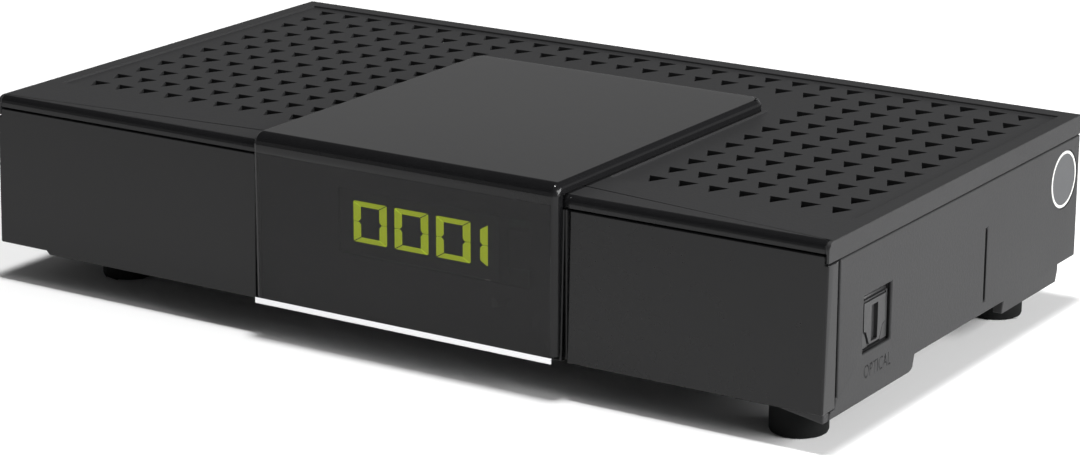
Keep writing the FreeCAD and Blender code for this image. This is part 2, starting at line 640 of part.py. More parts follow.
def lens_box(gap):
    """Space of the display lens in the band's front, open at its foot and grown by a gap elsewhere."""
    edge = LENS_EDGE - gap
    return box(BAND_LEFT + edge, BAND_RIGHT - edge, BAND_FRONT, BAND_FRONT + LENS_THICKNESS + gap, BAND_FOOT,
               BAND_TOP - BAND_NOSE_RADIUS - edge)


def make_centre_band():
    """Raised band with rounded nose, chamfered sides, lens pocket, display window and pegs."""
    face = band_profile(BAND_FRONT, BAND_TOP, BAND_BACK, BAND_FOOT, BAND_UNDER, BAND_NOSE_RADIUS)
    face.translate(FreeCAD.Vector(BAND_LEFT, 0, 0))
    body = face.extrude(FreeCAD.Vector(BAND_WIDTH, 0, 0))
    back_corners = edges_where(body, lambda edge: runs_along(edge, 2) and near(edge.CenterOfMass.y, BAND_BACK))
    body = body.makeFillet(BAND_BACK_CORNER, back_corners)
    nose_top = BAND_TOP - BAND_NOSE_RADIUS

    def outer_edge(edge):
        middle = edge.CenterOfMass
        on_side = near(middle.x, BAND_LEFT) or near(middle.x, BAND_RIGHT)
        on_front = near(middle.y, BAND_FRONT) and runs_along(edge, 2)
        on_top = near(middle.z, BAND_TOP) and not near(middle.y, BAND_FRONT + BAND_NOSE_RADIUS)
        on_nose = middle.z > nose_top and middle.y < BAND_FRONT + BAND_NOSE_RADIUS and not runs_along(edge, 0)
        return (on_side and (on_front or on_nose)) or on_top

    body = body.makeChamfer(BAND_EDGE_CHAMFER, edges_where(body, outer_edge))
    pegs = [rod(BAND_PEG_RADIUS, (x, y, BAND_UNDER - BAND_PEG_LENGTH), (0, 0, 1), BAND_PEG_LENGTH + SEAT_GAP)
            for x, y in band_peg_places()]
    body = joined([body] + pegs)
    half_height = MODULE_HEIGHT / 2 + JOINT_GAP
    window = box(DIGIT_CENTRE_X - MODULE_WIDTH / 2 - JOINT_GAP, RECEIVER_X + RECEIVER_WIDTH / 2 + JOINT_GAP,
                 BAND_FRONT, FASCIA_BACK, DIGIT_CENTRE_Z - half_height, DIGIT_CENTRE_Z + half_height)
    return body.cut(lens_box(LENS_GAP)).cut(window)


def make_trim_strip():
    """Bright bar under the band's front, its right end cut at 45 degrees."""
    left = BAND_LEFT
    right = BAND_RIGHT - BAND_EDGE_CHAMFER
    front, back = BAND_FRONT, BAND_FRONT + STRIP_DEPTH
    corners = [(left, front), (right, front), (right - STRIP_DEPTH, back), (left, back)]
    return profile_z(corners, BAND_FOOT - STRIP_HEIGHT, BAND_FOOT)


def segment(start, end):
    """One display segment: a bar with pointed ends between two (x, z) points."""
    length = math.hypot(end[0] - start[0], end[1] - start[1])
    along = ((end[0] - start[0]) / length, (end[1] - start[1]) / length)
    across = (-along[1], along[0])
    half = SEGMENT_WIDTH / 2
    shape = [(SEGMENT_GAP, 0), (SEGMENT_GAP + half, half), (length - SEGMENT_GAP - half, half),
             (length - SEGMENT_GAP, 0), (length - SEGMENT_GAP - half, -half), (SEGMENT_GAP + half, -half)]
    corners = [(start[0] + run * along[0] + rise * across[0], start[1] + run * along[1] + rise * across[1])
               for run, rise in shape]
    return profile_y(corners, MODULE_FACE - SEGMENT_DEPTH, MODULE_FACE)


def make_display_segments():
    """Seven light guides for each digit, on the face of the display housing."""
    half = SEGMENT_WIDTH / 2
    guides = []
    for index in range(DIGIT_COUNT):
        middle = DIGIT_CENTRE_X + (index - (DIGIT_COUNT - 1) / 2) * DIGIT_PITCH
        left = middle - DIGIT_WIDTH / 2 + half
        right = middle + DIGIT_WIDTH / 2 - half
        low = DIGIT_CENTRE_Z - DIGIT_HEIGHT / 2 + half
        high = DIGIT_CENTRE_Z + DIGIT_HEIGHT / 2 - half
        for z in (low, DIGIT_CENTRE_Z, high):
            guides.append(segment((left, z), (right, z)))
        for x in (left, right):
            guides.append(segment((x, low), (x, DIGIT_CENTRE_Z)))
            guides.append(segment((x, DIGIT_CENTRE_Z), (x, high)))
    return grouped(guides)


def make_display_module():
    """Housing of the four digits."""
    half = MODULE_WIDTH / 2
    return box(DIGIT_CENTRE_X - half, DIGIT_CENTRE_X + half, MODULE_FACE, DISPLAY_BOARD_FRONT,
               DIGIT_CENTRE_Z - MODULE_HEIGHT / 2, DIGIT_CENTRE_Z + MODULE_HEIGHT / 2)


def make_display_board():
    """Upright board behind the band, standing on the tray's front rib."""
    half = DISPLAY_BOARD_WIDTH / 2
    return box(BAND_CENTRE - half, BAND_CENTRE + half, DISPLAY_BOARD_FRONT, DISPLAY_BOARD_BACK,
               TRAY_FLOOR + WALL, TRAY_FLOOR + WALL + DISPLAY_BOARD_HEIGHT)


def make_infrared_receiver():
    """Small block with a domed lens, on the display board."""
    x = RECEIVER_X
    half = RECEIVER_WIDTH / 2
    block = box(x - half, x + half, DISPLAY_BOARD_FRONT - RECEIVER_DEPTH, DISPLAY_BOARD_FRONT,
                DIGIT_CENTRE_Z - RECEIVER_HEIGHT / 2, DIGIT_CENTRE_Z + RECEIVER_HEIGHT / 2)
    face = DISPLAY_BOARD_FRONT - RECEIVER_DEPTH
    dome = rod(RECEIVER_DOME_RADIUS, (x, face, DIGIT_CENTRE_Z), (0, -1, 0), RECEIVER_DOME_RISE)
    rim = edges_where(dome, lambda edge: near(edge.CenterOfMass.y, face - RECEIVER_DOME_RISE))
    return joined([block, dome.makeChamfer(RECEIVER_DOME_RISE / 2, rim)])


def make_foot(x, y):
    """Rubber foot that flares up to the tray's underside, with a stem pushed through the floor."""
    top = BELLY - SEAT_GAP
    pad = rod(FOOT_RADIUS, (x, y, 0), (0, 0, 1), FOOT_FLARE_START)
    flare = Part.makeCone(FOOT_RADIUS, FOOT_FLARE_RADIUS, top - FOOT_FLARE_START,
                          FreeCAD.Vector(x, y, FOOT_FLARE_START))
    stem = rod(FOOT_STEM_RADIUS, (x, y, top - SEAT_GAP), (0, 0, 1), FOOT_STEM_LENGTH + SEAT_GAP)
    return joined([pad, flare, stem])


def make_cover_screws():
    """Four pan-head screws driven up through the tray's pillars."""
    screws = []
    for x, y in pillar_places():
        seat = BELLY + SCREW_HEAD_HEIGHT + FLOOR_PLATE
        head = rod(SCREW_HEAD_RADIUS, (x, y, seat - SCREW_HEAD_HEIGHT), (0, 0, 1), SCREW_HEAD_HEIGHT)
        shaft = rod(SCREW_RADIUS, (x, y, seat - SEAT_GAP), (0, 0, 1), SCREW_LENGTH)
        screws.append(joined([head, shaft]))
    return grouped(screws)


def make_board_screws():
    """Four pan-head screws through the main board into the standoffs."""
    screws = []
    for x, y in standoff_places():
        head = rod(BOARD_SCREW_HEAD_RADIUS, (x, y, BOARD_TOP), (0, 0, 1), BOARD_SCREW_HEAD_HEIGHT)
        shaft = rod(BOARD_SCREW_RADIUS, (x, y, BOARD_TOP - BOARD_SCREW_LENGTH), (0, 0, 1),
                    BOARD_SCREW_LENGTH + SEAT_GAP)
        screws.append(joined([head, shaft]))
    return grouped(screws)


def make_main_board():
    """Printed board with its screw holes."""
    half = BOARD_WIDTH / 2
    board = box(-half, half, BOARD_FRONT, BOARD_REAR, BOARD_UNDER, BOARD_TOP)
    holes = [rod(BOARD_SCREW_RADIUS + SCREW_CLEARANCE, (x, y, BOARD_UNDER), (0, 0, 1), BOARD_THICKNESS)
             for x, y in standoff_places()]
    flange = OPTICAL_FLANGE / 2 + OPTICAL_CHANNEL_GAP
    notch = box(OPTICAL_BACK - OPTICAL_CHANNEL_GAP, half, OPTICAL_Y - flange, OPTICAL_Y + flange, BOARD_UNDER,
                BOARD_TOP)
    return board.cut(grouped(holes)).cut(notch)


def make_optical_socket():
    """Square housing with a cavity for the plug and pin holes for the shutter."""
    half = OPTICAL_FLANGE / 2
    top = OPTICAL_TOP + OPTICAL_HEADROOM + WALL / 2
    body = box(OPTICAL_BACK, OPTICAL_FACE, OPTICAL_Y - half, OPTICAL_Y + half, TRAY_FLOOR, top)
    opening = OPTICAL_OPENING / 2
    cavity = box(OPTICAL_FACE - OPTICAL_CAVITY_DEPTH, OPTICAL_FACE, OPTICAL_Y - opening, OPTICAL_Y + opening,
                 OPTICAL_TOP - OPTICAL_OPENING, OPTICAL_TOP + OPTICAL_HEADROOM)
    pin = rod(SHUTTER_PIN_RADIUS + SHUTTER_PIN_CLEARANCE,
              (SHUTTER_AXIS_X, OPTICAL_Y - half, SHUTTER_AXIS_Z), (0, 1, 0), OPTICAL_FLANGE)
    emitter = rod(EMITTER_RADIUS + PILOT_CLEARANCE, (OPTICAL_BACK, OPTICAL_Y, OPTICAL_Z), (1, 0, 0), OPTICAL_DEPTH)
    return body.cut(cavity).cut(pin).cut(emitter)


def make_optical_emitter():
    """Light source at the back of the optical socket."""
    return rod(EMITTER_RADIUS, (OPTICAL_BACK, OPTICAL_Y, OPTICAL_Z), (1, 0, 0), EMITTER_LENGTH)


def make_optical_shutter():
    """Dust flap hung on two pins at its top edge, with a raised plug outline and a slot."""
    half = SHUTTER_HALF_WIDTH
    inner = SHUTTER_FACE - SHUTTER_THICKNESS
    plate_face = SHUTTER_FACE - SHUTTER_BOSS_RISE
    plate = box(inner, plate_face, OPTICAL_Y - half, OPTICAL_Y + half, SHUTTER_FOOT, SHUTTER_AXIS_Z)
    knuckle = rod(SHUTTER_THICKNESS / 2, (SHUTTER_AXIS_X, OPTICAL_Y - half, SHUTTER_AXIS_Z), (0, 1, 0), 2 * half)
    pin_length = SHUTTER_SIDE_GAP + SHUTTER_PIN_LENGTH
    pin = rod(SHUTTER_PIN_RADIUS, (SHUTTER_AXIS_X, OPTICAL_Y - half - pin_length, SHUTTER_AXIS_Z), (0, 1, 0),
              2 * (half + pin_length))
    high = SHUTTER_AXIS_Z
    low = SHUTTER_FOOT + SHUTTER_SIDE_GAP
    waist = low + (high - low) / 3
    outline = [(-SHUTTER_BOSS_WIDTH / 2, high), (SHUTTER_BOSS_WIDTH / 2, high), (SHUTTER_BOSS_WIDTH / 2, waist),
               (SHUTTER_BOSS_WAIST / 2, waist - SHUTTER_SIDE_GAP), (SHUTTER_BOSS_TIP / 2, low),
               (-SHUTTER_BOSS_TIP / 2, low), (-SHUTTER_BOSS_WAIST / 2, waist - SHUTTER_SIDE_GAP),
               (-SHUTTER_BOSS_WIDTH / 2, waist)]
    boss = profile_x([(OPTICAL_Y + y, z) for y, z in outline], inner, SHUTTER_FACE)
    body = joined([plate, knuckle, pin, boss])
    slot_half = SHUTTER_SLOT_WIDTH / 2
    slot_foot = low + SHUTTER_SIDE_GAP
    slot = box(SHUTTER_FACE - SHUTTER_SLOT_DEPTH, SHUTTER_FACE, OPTICAL_Y - slot_half, OPTICAL_Y + slot_half,
               slot_foot, slot_foot + SHUTTER_SLOT_HEIGHT)
    return body.cut(slot)


def panel_cutouts():
    """Holes of the rear panel, each a clearance larger than what passes through it."""
    gap = SOCKET_CLEARANCE
    holes = []
    for side in (-1, 1):
        x = TUNER_CENTRE + side * AERIAL_SPACING / 2
        holes.append(rod(AERIAL_COLLAR_RADIUS + gap, (x, PANEL_FRONT, AERIAL_Z), (0, 1, 0), PANEL_THICKNESS))
    for centre, width, low, high in ((HDMI_CENTRE, HDMI_WIDTH, BOARD_TOP, BOARD_TOP + HDMI_HEIGHT),
                                     (SCART_CENTRE, SCART_WIDTH, BOARD_TOP, BOARD_TOP + SCART_HEIGHT),
                                     (USB_CENTRE, USB_WIDTH, BOARD_TOP, BOARD_TOP + USB_HEIGHT),
                                     (DC_CENTRE, DC_WIDTH, BOARD_TOP, BOARD_TOP + DC_HEIGHT),
                                     (SWITCH_CENTRE, SWITCH_WIDTH, SWITCH_Z - SWITCH_HEIGHT / 2,
                                      SWITCH_Z + SWITCH_HEIGHT / 2)):
        reach = width / 2 + gap
        holes.append(box(centre - reach, centre + reach, PANEL_FRONT, REAR_Y, low - gap, high + gap))
    return grouped(holes)


def make_rear_panel():
    """Flat panel between the side walls, standing on the tray's floor."""
    half = HALF_WIDTH - WALL - PANEL_SIDE_GAP
    panel = box(-half, half, PANEL_FRONT, REAR_Y, TRAY_FLOOR, PANEL_TOP)
    return panel.cut(panel_cutouts())


def make_tuner_can():
    """Folded metal screening can on the board."""
    half = TUNER_WIDTH / 2
    rear = PANEL_FRONT - SEAT_GAP
    return box(TUNER_CENTRE - half, TUNER_CENTRE + half, rear - TUNER_DEPTH, rear, BOARD_TOP,
               BOARD_TOP + TUNER_HEIGHT)


def make_aerial_socket(side):
    """Threaded aerial socket with a collar and a centre bore."""
    x = TUNER_CENTRE + side * AERIAL_SPACING / 2
    rear = PANEL_FRONT - SEAT_GAP
    reach = REAR_Y + AERIAL_REACH - rear
    barrel = rod(AERIAL_RADIUS, (x, rear, AERIAL_Z), (0, 1, 0), reach)
    collar = rod(AERIAL_COLLAR_RADIUS, (x, rear, AERIAL_Z), (0, 1, 0), PANEL_THICKNESS + AERIAL_COLLAR_LENGTH)
    bore = rod(AERIAL_BORE_RADIUS, (x, rear + reach - AERIAL_BORE_DEPTH, AERIAL_Z), (0, 1, 0), AERIAL_BORE_DEPTH)
    return joined([barrel, collar]).cut(bore)


def shell_outline(centre, width, height, inset, slant):
    """Outline of a plug shell in (x, z), with slanted lower corners where a slant is given."""
    left, right = centre - width / 2 + inset, centre + width / 2 - inset
    low, high = BOARD_TOP + inset, BOARD_TOP + height - inset
    if not slant:
        return [(left, high), (right, high), (right, low), (left, low)]
    shoulder = low + slant
    return [(left, high), (right, high), (right, shoulder + slant / 2), (right - slant, shoulder),
            (right - slant, low), (left + slant, low), (left + slant, shoulder), (left, shoulder + slant / 2)]


def shell_socket(centre, width, height, depth, shell, tongue, slant):
    """Folded metal shell, open to the rear, with a contact tongue inside."""
    back = REAR_Y - depth
    body = profile_y(shell_outline(centre, width, height, 0, slant), back, REAR_Y)
    cavity = profile_y(shell_outline(centre, width, height, shell, slant), back + 2 * shell, REAR_Y)
    middle = BOARD_TOP + height / 2 + slant / 2
    reach = width / 2 - slant - 3 * shell
    blade = box(centre - reach, centre + reach, back + shell, REAR_Y - 3 * shell, middle - tongue / 2,
                middle + tongue / 2)
    return joined([body.cut(cavity), blade])


def scart_outline(inset):
    """Outline of the plug's shell in (x, z): a long box with one slanted corner."""
    left, right = SCART_CENTRE - SCART_WIDTH / 2 + inset, SCART_CENTRE + SCART_WIDTH / 2 - inset
    low, high = BOARD_TOP + inset, BOARD_TOP + SCART_HEIGHT - inset
    return [(left, high), (right, high), (right, low), (left + SCART_SLANT, low), (left, low + SCART_SLANT)]


def make_scart_socket():
    """Block with a ring slot for the plug's metal shell and two rows of contact slots."""
    half = SCART_WIDTH / 2
    low, high = BOARD_TOP, BOARD_TOP + SCART_HEIGHT
    body = box(SCART_CENTRE - half, SCART_CENTRE + half, REAR_Y - SCART_DEPTH, REAR_Y, low, high)
    inset = SCART_RIM + SCART_SLOT
    floor = REAR_Y - SCART_SLOT_DEPTH
    ring_outer = profile_y(scart_outline(SCART_RIM), floor, REAR_Y)
    ring_inner = profile_y(scart_outline(inset), floor, REAR_Y)
    body = body.cut(ring_outer.cut(ring_inner))
    pitch = (SCART_WIDTH - 2 * inset) / (SCART_CONTACTS + 1)
    slots = []
    for row, z in enumerate((low + SCART_HEIGHT / 3, high - SCART_HEIGHT / 3)):
        for index in range(SCART_CONTACTS):
            x = SCART_CENTRE - half + inset + (index + 1.1 - row * 0.2) * pitch
            slots.append(box(x - SCART_CONTACT_WIDTH / 2, x + SCART_CONTACT_WIDTH / 2, floor, REAR_Y,
                             z - SCART_CONTACT_HEIGHT / 2, z + SCART_CONTACT_HEIGHT / 2))
    return body.cut(grouped(slots))


def make_dc_socket():
    """Power socket with a round bore and a centre pin."""
    half = DC_WIDTH / 2
    z = BOARD_TOP + DC_HEIGHT / 2
    body = box(DC_CENTRE - half, DC_CENTRE + half, REAR_Y - DC_DEPTH, REAR_Y, BOARD_TOP, BOARD_TOP + DC_HEIGHT)
    bore = rod(DC_BORE_RADIUS, (DC_CENTRE, REAR_Y - DC_BORE_DEPTH, z), (0, 1, 0), DC_BORE_DEPTH)
    pin = rod(DC_PIN_RADIUS, (DC_CENTRE, REAR_Y - DC_BORE_DEPTH - SEAT_GAP, z), (0, 1, 0), DC_BORE_DEPTH)
    return joined([body.cut(bore), pin])


def make_switch_housing():
    """Snap-in housing of the power switch, flanged over the panel."""
    half_x, half_z = SWITCH_WIDTH / 2, SWITCH_HEIGHT / 2
    body = box(SWITCH_CENTRE - half_x, SWITCH_CENTRE + half_x, REAR_Y - SWITCH_DEPTH, REAR_Y,
               SWITCH_Z - half_z, SWITCH_Z + half_z)
    grow = SWITCH_FLANGE
    flange = box(SWITCH_CENTRE - half_x - grow, SWITCH_CENTRE + half_x + grow, REAR_Y,
                 REAR_Y + SWITCH_FLANGE_THICKNESS, SWITCH_Z - half_z - grow, SWITCH_Z + half_z + grow)
    wall = SWITCH_WALL
    well = box(SWITCH_CENTRE - half_x + wall, SWITCH_CENTRE + half_x - wall, REAR_Y - SWITCH_DEPTH + wall,
               REAR_Y + SWITCH_FLANGE_THICKNESS, SWITCH_Z - half_z + wall, SWITCH_Z + half_z - wall)
    pins = rod(ROCKER_PIN_RADIUS + ROCKER_PIN_CLEARANCE, (SWITCH_CENTRE, SWITCH_AXIS_Y, SWITCH_Z - half_z),
               (0, 0, 1), SWITCH_HEIGHT)
    return joined([body, flange]).cut(well).cut(pins)


def make_switch_rocker():
    """Rocker with a shallow vee top on two pins, tipped to its on position."""
    half_x = SWITCH_WIDTH / 2 - SWITCH_WALL - ROCKER_GAP
    half_z = SWITCH_HEIGHT / 2 - SWITCH_WALL - ROCKER_GAP
    rise = half_x * math.sin(math.radians(ROCKER_ANGLE))
    foot = half_x * math.cos(math.radians(ROCKER_ANGLE))
    outline = [(-half_x, rise), (0, 0), (half_x, rise), (foot, -ROCKER_THICKNESS), (-foot, -ROCKER_THICKNESS)]
    top = SWITCH_AXIS_Y + ROCKER_PIN_RADIUS + ROCKER_GAP
    body = profile_z([(SWITCH_CENTRE + x, top + y) for x, y in outline], SWITCH_Z - half_z, SWITCH_Z + half_z)
    reach = ROCKER_GAP + ROCKER_PIN_LENGTH
    pin = rod(ROCKER_PIN_RADIUS, (SWITCH_CENTRE, SWITCH_AXIS_Y, SWITCH_Z - half_z - reach), (0, 0, 1),
              2 * (half_z + reach))
    body = joined([body, pin])
    body.rotate(FreeCAD.Vector(SWITCH_CENTRE, SWITCH_AXIS_Y, SWITCH_Z), FreeCAD.Vector(0, 0, 1), ROCKER_ANGLE)
    return body


def make_main_chip():
    """Square decoder chip."""
    half = CHIP_SIZE / 2
    return box(CHIP_X - half, CHIP_X + half, CHIP_Y - half, CHIP_Y + half, BOARD_TOP, BOARD_TOP + CHIP_HEIGHT)


def make_heat_sink():
    """Finned block on the chip."""
    half = SINK_SIZE / 2
    low = BOARD_TOP + CHIP_HEIGHT
    parts = [box(CHIP_X - half, CHIP_X + half, CHIP_Y - half, CHIP_Y + half, low, low + SINK_BASE)]
    pitch = (SINK_SIZE - SINK_FIN_THICKNESS) / (SINK_FINS - 1)
    for index in range(SINK_FINS):
        x = CHIP_X - half + index * pitch
        parts.append(box(x, x + SINK_FIN_THICKNESS, CHIP_Y - half, CHIP_Y + half, low + SINK_BASE,
                         low + SINK_HEIGHT))
    return joined(parts)


def make_memory_chips():
    """Two flat memory chips in front of the heat sink."""
    chips = []
    y = CHIP_Y - SINK_SIZE / 2 - MEMORY_WIDTH
    for index in range(MEMORY_COUNT):
        x = CHIP_X + (index - (MEMORY_COUNT - 1) / 2) * (MEMORY_LENGTH + WALL)
        chips.append(box(x - MEMORY_LENGTH / 2, x + MEMORY_LENGTH / 2, y, y + MEMORY_WIDTH, BOARD_TOP,
                         BOARD_TOP + MEMORY_HEIGHT))
    return grouped(chips)


def make_capacitors():
    """Row of upright can capacitors beside the power socket."""
    return grouped([rod(CAPACITOR_RADIUS, (SCART_CENTRE + (index + 1) * CAPACITOR_PITCH + WALL, CHIP_Y, BOARD_TOP),
                        (0, 0, 1), CAPACITOR_HEIGHT) for index in range(1, CAPACITOR_COUNT + 1)])


def make_inductors():
    """Row of shielded power inductors in front of the capacitors."""
    half = INDUCTOR_SIZE / 2
    shapes = []
    for index in range(INDUCTOR_COUNT):
        x = SCART_CENTRE + 2 * CAPACITOR_PITCH + WALL + index * INDUCTOR_PITCH
        y = CHIP_Y - 2 * CAPACITOR_RADIUS - half
        block = box(x - half, x + half, y - half, y + half, BOARD_TOP, BOARD_TOP + INDUCTOR_HEIGHT)
        upright = edges_where(block, lambda edge: runs_along(edge, 2))
        shapes.append(block.makeChamfer(half / 2, upright))
    return grouped(shapes)


def make_ribbon_header():
    """Header on the main board where the ribbon lands."""
    half = RIBBON_WIDTH / 2 + JOINT_GAP
    return box(BAND_CENTRE - half, BAND_CENTRE + half, BOARD_FRONT, BOARD_FRONT + HEADER_DEPTH, BOARD_TOP,
               BOARD_TOP + HEADER_HEIGHT)


def make_ribbon_cable():
    """Flat ribbon from the header's front face to the display board's back."""
    half = RIBBON_WIDTH / 2
    z = BOARD_TOP + HEADER_HEIGHT / 2
    return box(BAND_CENTRE - half, BAND_CENTRE + half, DISPLAY_BOARD_BACK, BOARD_FRONT,
               z - RIBBON_THICKNESS / 2, z + RIBBON_THICKNESS / 2)


def origin_shift():
    """Move that puts the origin under the middle of the whole outline."""
    front = BAND_FRONT
    rear = REAR_Y + AERIAL_REACH
    return FreeCAD.Vector(0, -(front + rear) / 2, 0)


def make_all():
    """Every piece under its own name."""
    pieces = {
        "top_cover": make_top_cover(),
        "front_fascia": make_front_fascia(),
        "centre_band": make_centre_band(),
        "display_lens": lens_box(0),
        "trim_strip": make_trim_strip(),
        "display_segments": make_display_segments(),
        "display_module": make_display_module(),
        "display_board": make_display_board(),
        "infrared_receiver": make_infrared_receiver(),
        "base_tray": make_base_tray(),
        "cover_screws": make_cover_screws(),
        "board_screws": make_board_screws(),
        "main_board": make_main_board(),
        "optical_socket": make_optical_socket(),
        "optical_emitter": make_optical_emitter(),
        "optical_shutter": make_optical_shutter(),
        "rear_panel": make_rear_panel(),
        "tuner_can": make_tuner_can(),
        "aerial_in_socket": make_aerial_socket(-1),
        "aerial_out_socket": make_aerial_socket(1),
        "hdmi_socket": shell_socket(HDMI_CENTRE, HDMI_WIDTH, HDMI_HEIGHT, HDMI_DEPTH, HDMI_SHELL, HDMI_TONGUE,
                                    HDMI_SLANT),
        "usb_socket": shell_socket(USB_CENTRE, USB_WIDTH, USB_HEIGHT, USB_DEPTH, USB_SHELL, USB_TONGUE, 0),
        "scart_socket": make_scart_socket(),
        "dc_socket": make_dc_socket(),
        "power_switch_housing": make_switch_housing(),
        "power_switch_rocker": make_switch_rocker(),
        "main_chip": make_main_chip(),
        "heat_sink": make_heat_sink(),
        "memory_chips": make_memory_chips(),
        "capacitors": make_capacitors(),
        "inductors": make_inductors(),
        "ribbon_header": make_ribbon_header(),
        "ribbon_cable": make_ribbon_cable(),
    }
    for name, x, y in foot_places():
        pieces[name] = make_foot(x, y)
    return pieces


def main():
    """Write one STEP file for each piece."""
    os.makedirs("parts", exist_ok=True)
    shift = origin_shift()
    for name, shape in make_all().items():
        placed = shape.copy()
        placed.translate(shift)
        placed.exportStep(os.path.join("parts", name + ".step"))
        print(name, len(placed.Solids), round(placed.Volume, 1), placed.isValid())


main()
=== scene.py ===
import json
import logging
import math
from dataclasses import dataclass
from enum import Enum

import bmesh
import bpy
from mathutils import Matrix, Vector

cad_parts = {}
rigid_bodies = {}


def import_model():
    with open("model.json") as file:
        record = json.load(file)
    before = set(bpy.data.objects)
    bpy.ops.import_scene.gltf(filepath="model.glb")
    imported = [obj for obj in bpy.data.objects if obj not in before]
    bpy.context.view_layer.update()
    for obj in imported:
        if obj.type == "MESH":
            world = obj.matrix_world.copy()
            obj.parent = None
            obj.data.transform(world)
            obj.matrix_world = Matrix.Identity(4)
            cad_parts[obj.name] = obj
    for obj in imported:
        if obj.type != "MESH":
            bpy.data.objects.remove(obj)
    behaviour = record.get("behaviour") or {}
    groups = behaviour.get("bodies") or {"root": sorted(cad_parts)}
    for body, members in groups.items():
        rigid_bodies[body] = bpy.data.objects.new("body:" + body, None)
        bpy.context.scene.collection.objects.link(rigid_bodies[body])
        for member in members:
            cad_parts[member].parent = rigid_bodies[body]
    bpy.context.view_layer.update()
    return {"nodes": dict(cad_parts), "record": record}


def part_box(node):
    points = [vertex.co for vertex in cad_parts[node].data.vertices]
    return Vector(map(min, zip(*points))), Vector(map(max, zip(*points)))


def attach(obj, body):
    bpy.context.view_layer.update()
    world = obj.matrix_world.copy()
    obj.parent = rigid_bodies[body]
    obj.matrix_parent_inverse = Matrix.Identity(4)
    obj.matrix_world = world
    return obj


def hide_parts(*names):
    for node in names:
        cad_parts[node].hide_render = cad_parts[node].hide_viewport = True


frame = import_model()

MM = 0.001
MIX_FIRST = 6
MIX_SECOND = 7
MIX_RESULT = 2
GRAIN_RELIEF = 0.25
CAPITAL_SHARE = 0.7
DOUBLES = 0.001 * MM
WHITE = (1, 1, 1, 1)
CASING = "casing"
SHUTTER = "shutter"
ROCKER = "rocker"
LOG = logging.getLogger("receiver")


class Axis(Enum):
    """Direction that a round piece points along."""

    X = (0.0, math.pi / 2, 0.0)
    Y = (-math.pi / 2, 0.0, 0.0)


class Fit(Enum):
    """How one mesh is combined with another."""

    CUT = "DIFFERENCE"
    KEEP = "INTERSECT"


def linear(hex_colour: str) -> tuple[float, float, float, float]:
    """Turn an sRGB hex colour into linear light.

    Args:
        hex_colour: Colour as "#rrggbb".

    Returns:
        Red, green, blue and an alpha of one.
    """
    channels = [int(hex_colour[start:start + 2], 16) / 255 for start in (1, 3, 5)]
    light = [value / 12.92 if value <= 0.04045 else ((value + 0.055) / 1.055) ** 2.4 for value in channels]
    return light[0], light[1], light[2], 1.0


def add_node(tree: bpy.types.NodeTree, kind: str, settings: dict | None = None,
             links: dict | None = None) -> bpy.types.Node:
    """Add a shader node with its settings and incoming links.

    Args:
        tree: Node tree to add to.
        kind: Blender's type name of the node.
        settings: Attribute or input names with their values.
        links: Input names or numbers with the sockets that feed them.

    Returns:
        The new node.
    """
    node = tree.nodes.new(kind)
    for key, value in (settings or {}).items():
        if isinstance(key, str) and hasattr(node, key):
            setattr(node, key, value)
        else:
            node.inputs[key].default_value = value
    for key, socket in (links or {}).items():
        tree.links.new(socket, node.inputs[key])
    return node


def empty_material(name: str) -> bpy.types.Material:
    """Make a node material with nothing in it.

    Args:
        name: Name of the finish.

    Returns:
        The material, without nodes.
    """
    material = bpy.data.materials.new(name)
    material.use_nodes = True
    material.node_tree.nodes.clear()
    return material


@dataclass(frozen=True)
class MouldedPlastic:
    """Moulded plastic: a skin colour, a gloss and the grain that the tool's surface left."""

    name: str
    colour: str
    fleck: str
    roughness: float
    roughness_spread: float = 0.05
    grain_mm: float = 0.5
    bump: float = 0.05
    specular: float = 0.5
    cloud_mm: float = 40.0

    def material(self) -> bpy.types.Material:
        """Build the material.

        Returns:
            A material whose grain follows Object coordinates.
        """
        material = empty_material(self.name)
        tree = material.node_tree
        place = add_node(tree, "ShaderNodeTexCoord")
        grain = add_node(tree, "ShaderNodeTexNoise", {"Scale": 1 / (self.grain_mm * MM), "Detail": 3.0},
                         {"Vector": place.outputs["Object"]})
        cloud = add_node(tree, "ShaderNodeTexNoise", {"Scale": 1 / (self.cloud_mm * MM), "Detail": 2.0},
                         {"Vector": place.outputs["Object"]})
        tint = add_node(tree, "ShaderNodeMix",
                        {"data_type": "RGBA", MIX_FIRST: linear(self.colour), MIX_SECOND: linear(self.fleck)},
                        {0: grain.outputs["Fac"]})
        gloss = add_node(tree, "ShaderNodeMapRange",
                         {"To Min": self.roughness - self.roughness_spread,
                          "To Max": self.roughness + self.roughness_spread}, {"Value": cloud.outputs["Fac"]})
        relief = add_node(tree, "ShaderNodeBump",
                          {"Strength": self.bump, "Distance": self.grain_mm * MM * GRAIN_RELIEF},
                          {"Height": grain.outputs["Fac"]})
        shader = add_node(tree, "ShaderNodeBsdfPrincipled", {"Specular IOR Level": self.specular},
                          {"Base Color": tint.outputs[MIX_RESULT], "Roughness": gloss.outputs["Result"],
                           "Normal": relief.outputs["Normal"]})
        add_node(tree, "ShaderNodeOutputMaterial", {}, {"Surface": shader.outputs["BSDF"]})
        return material


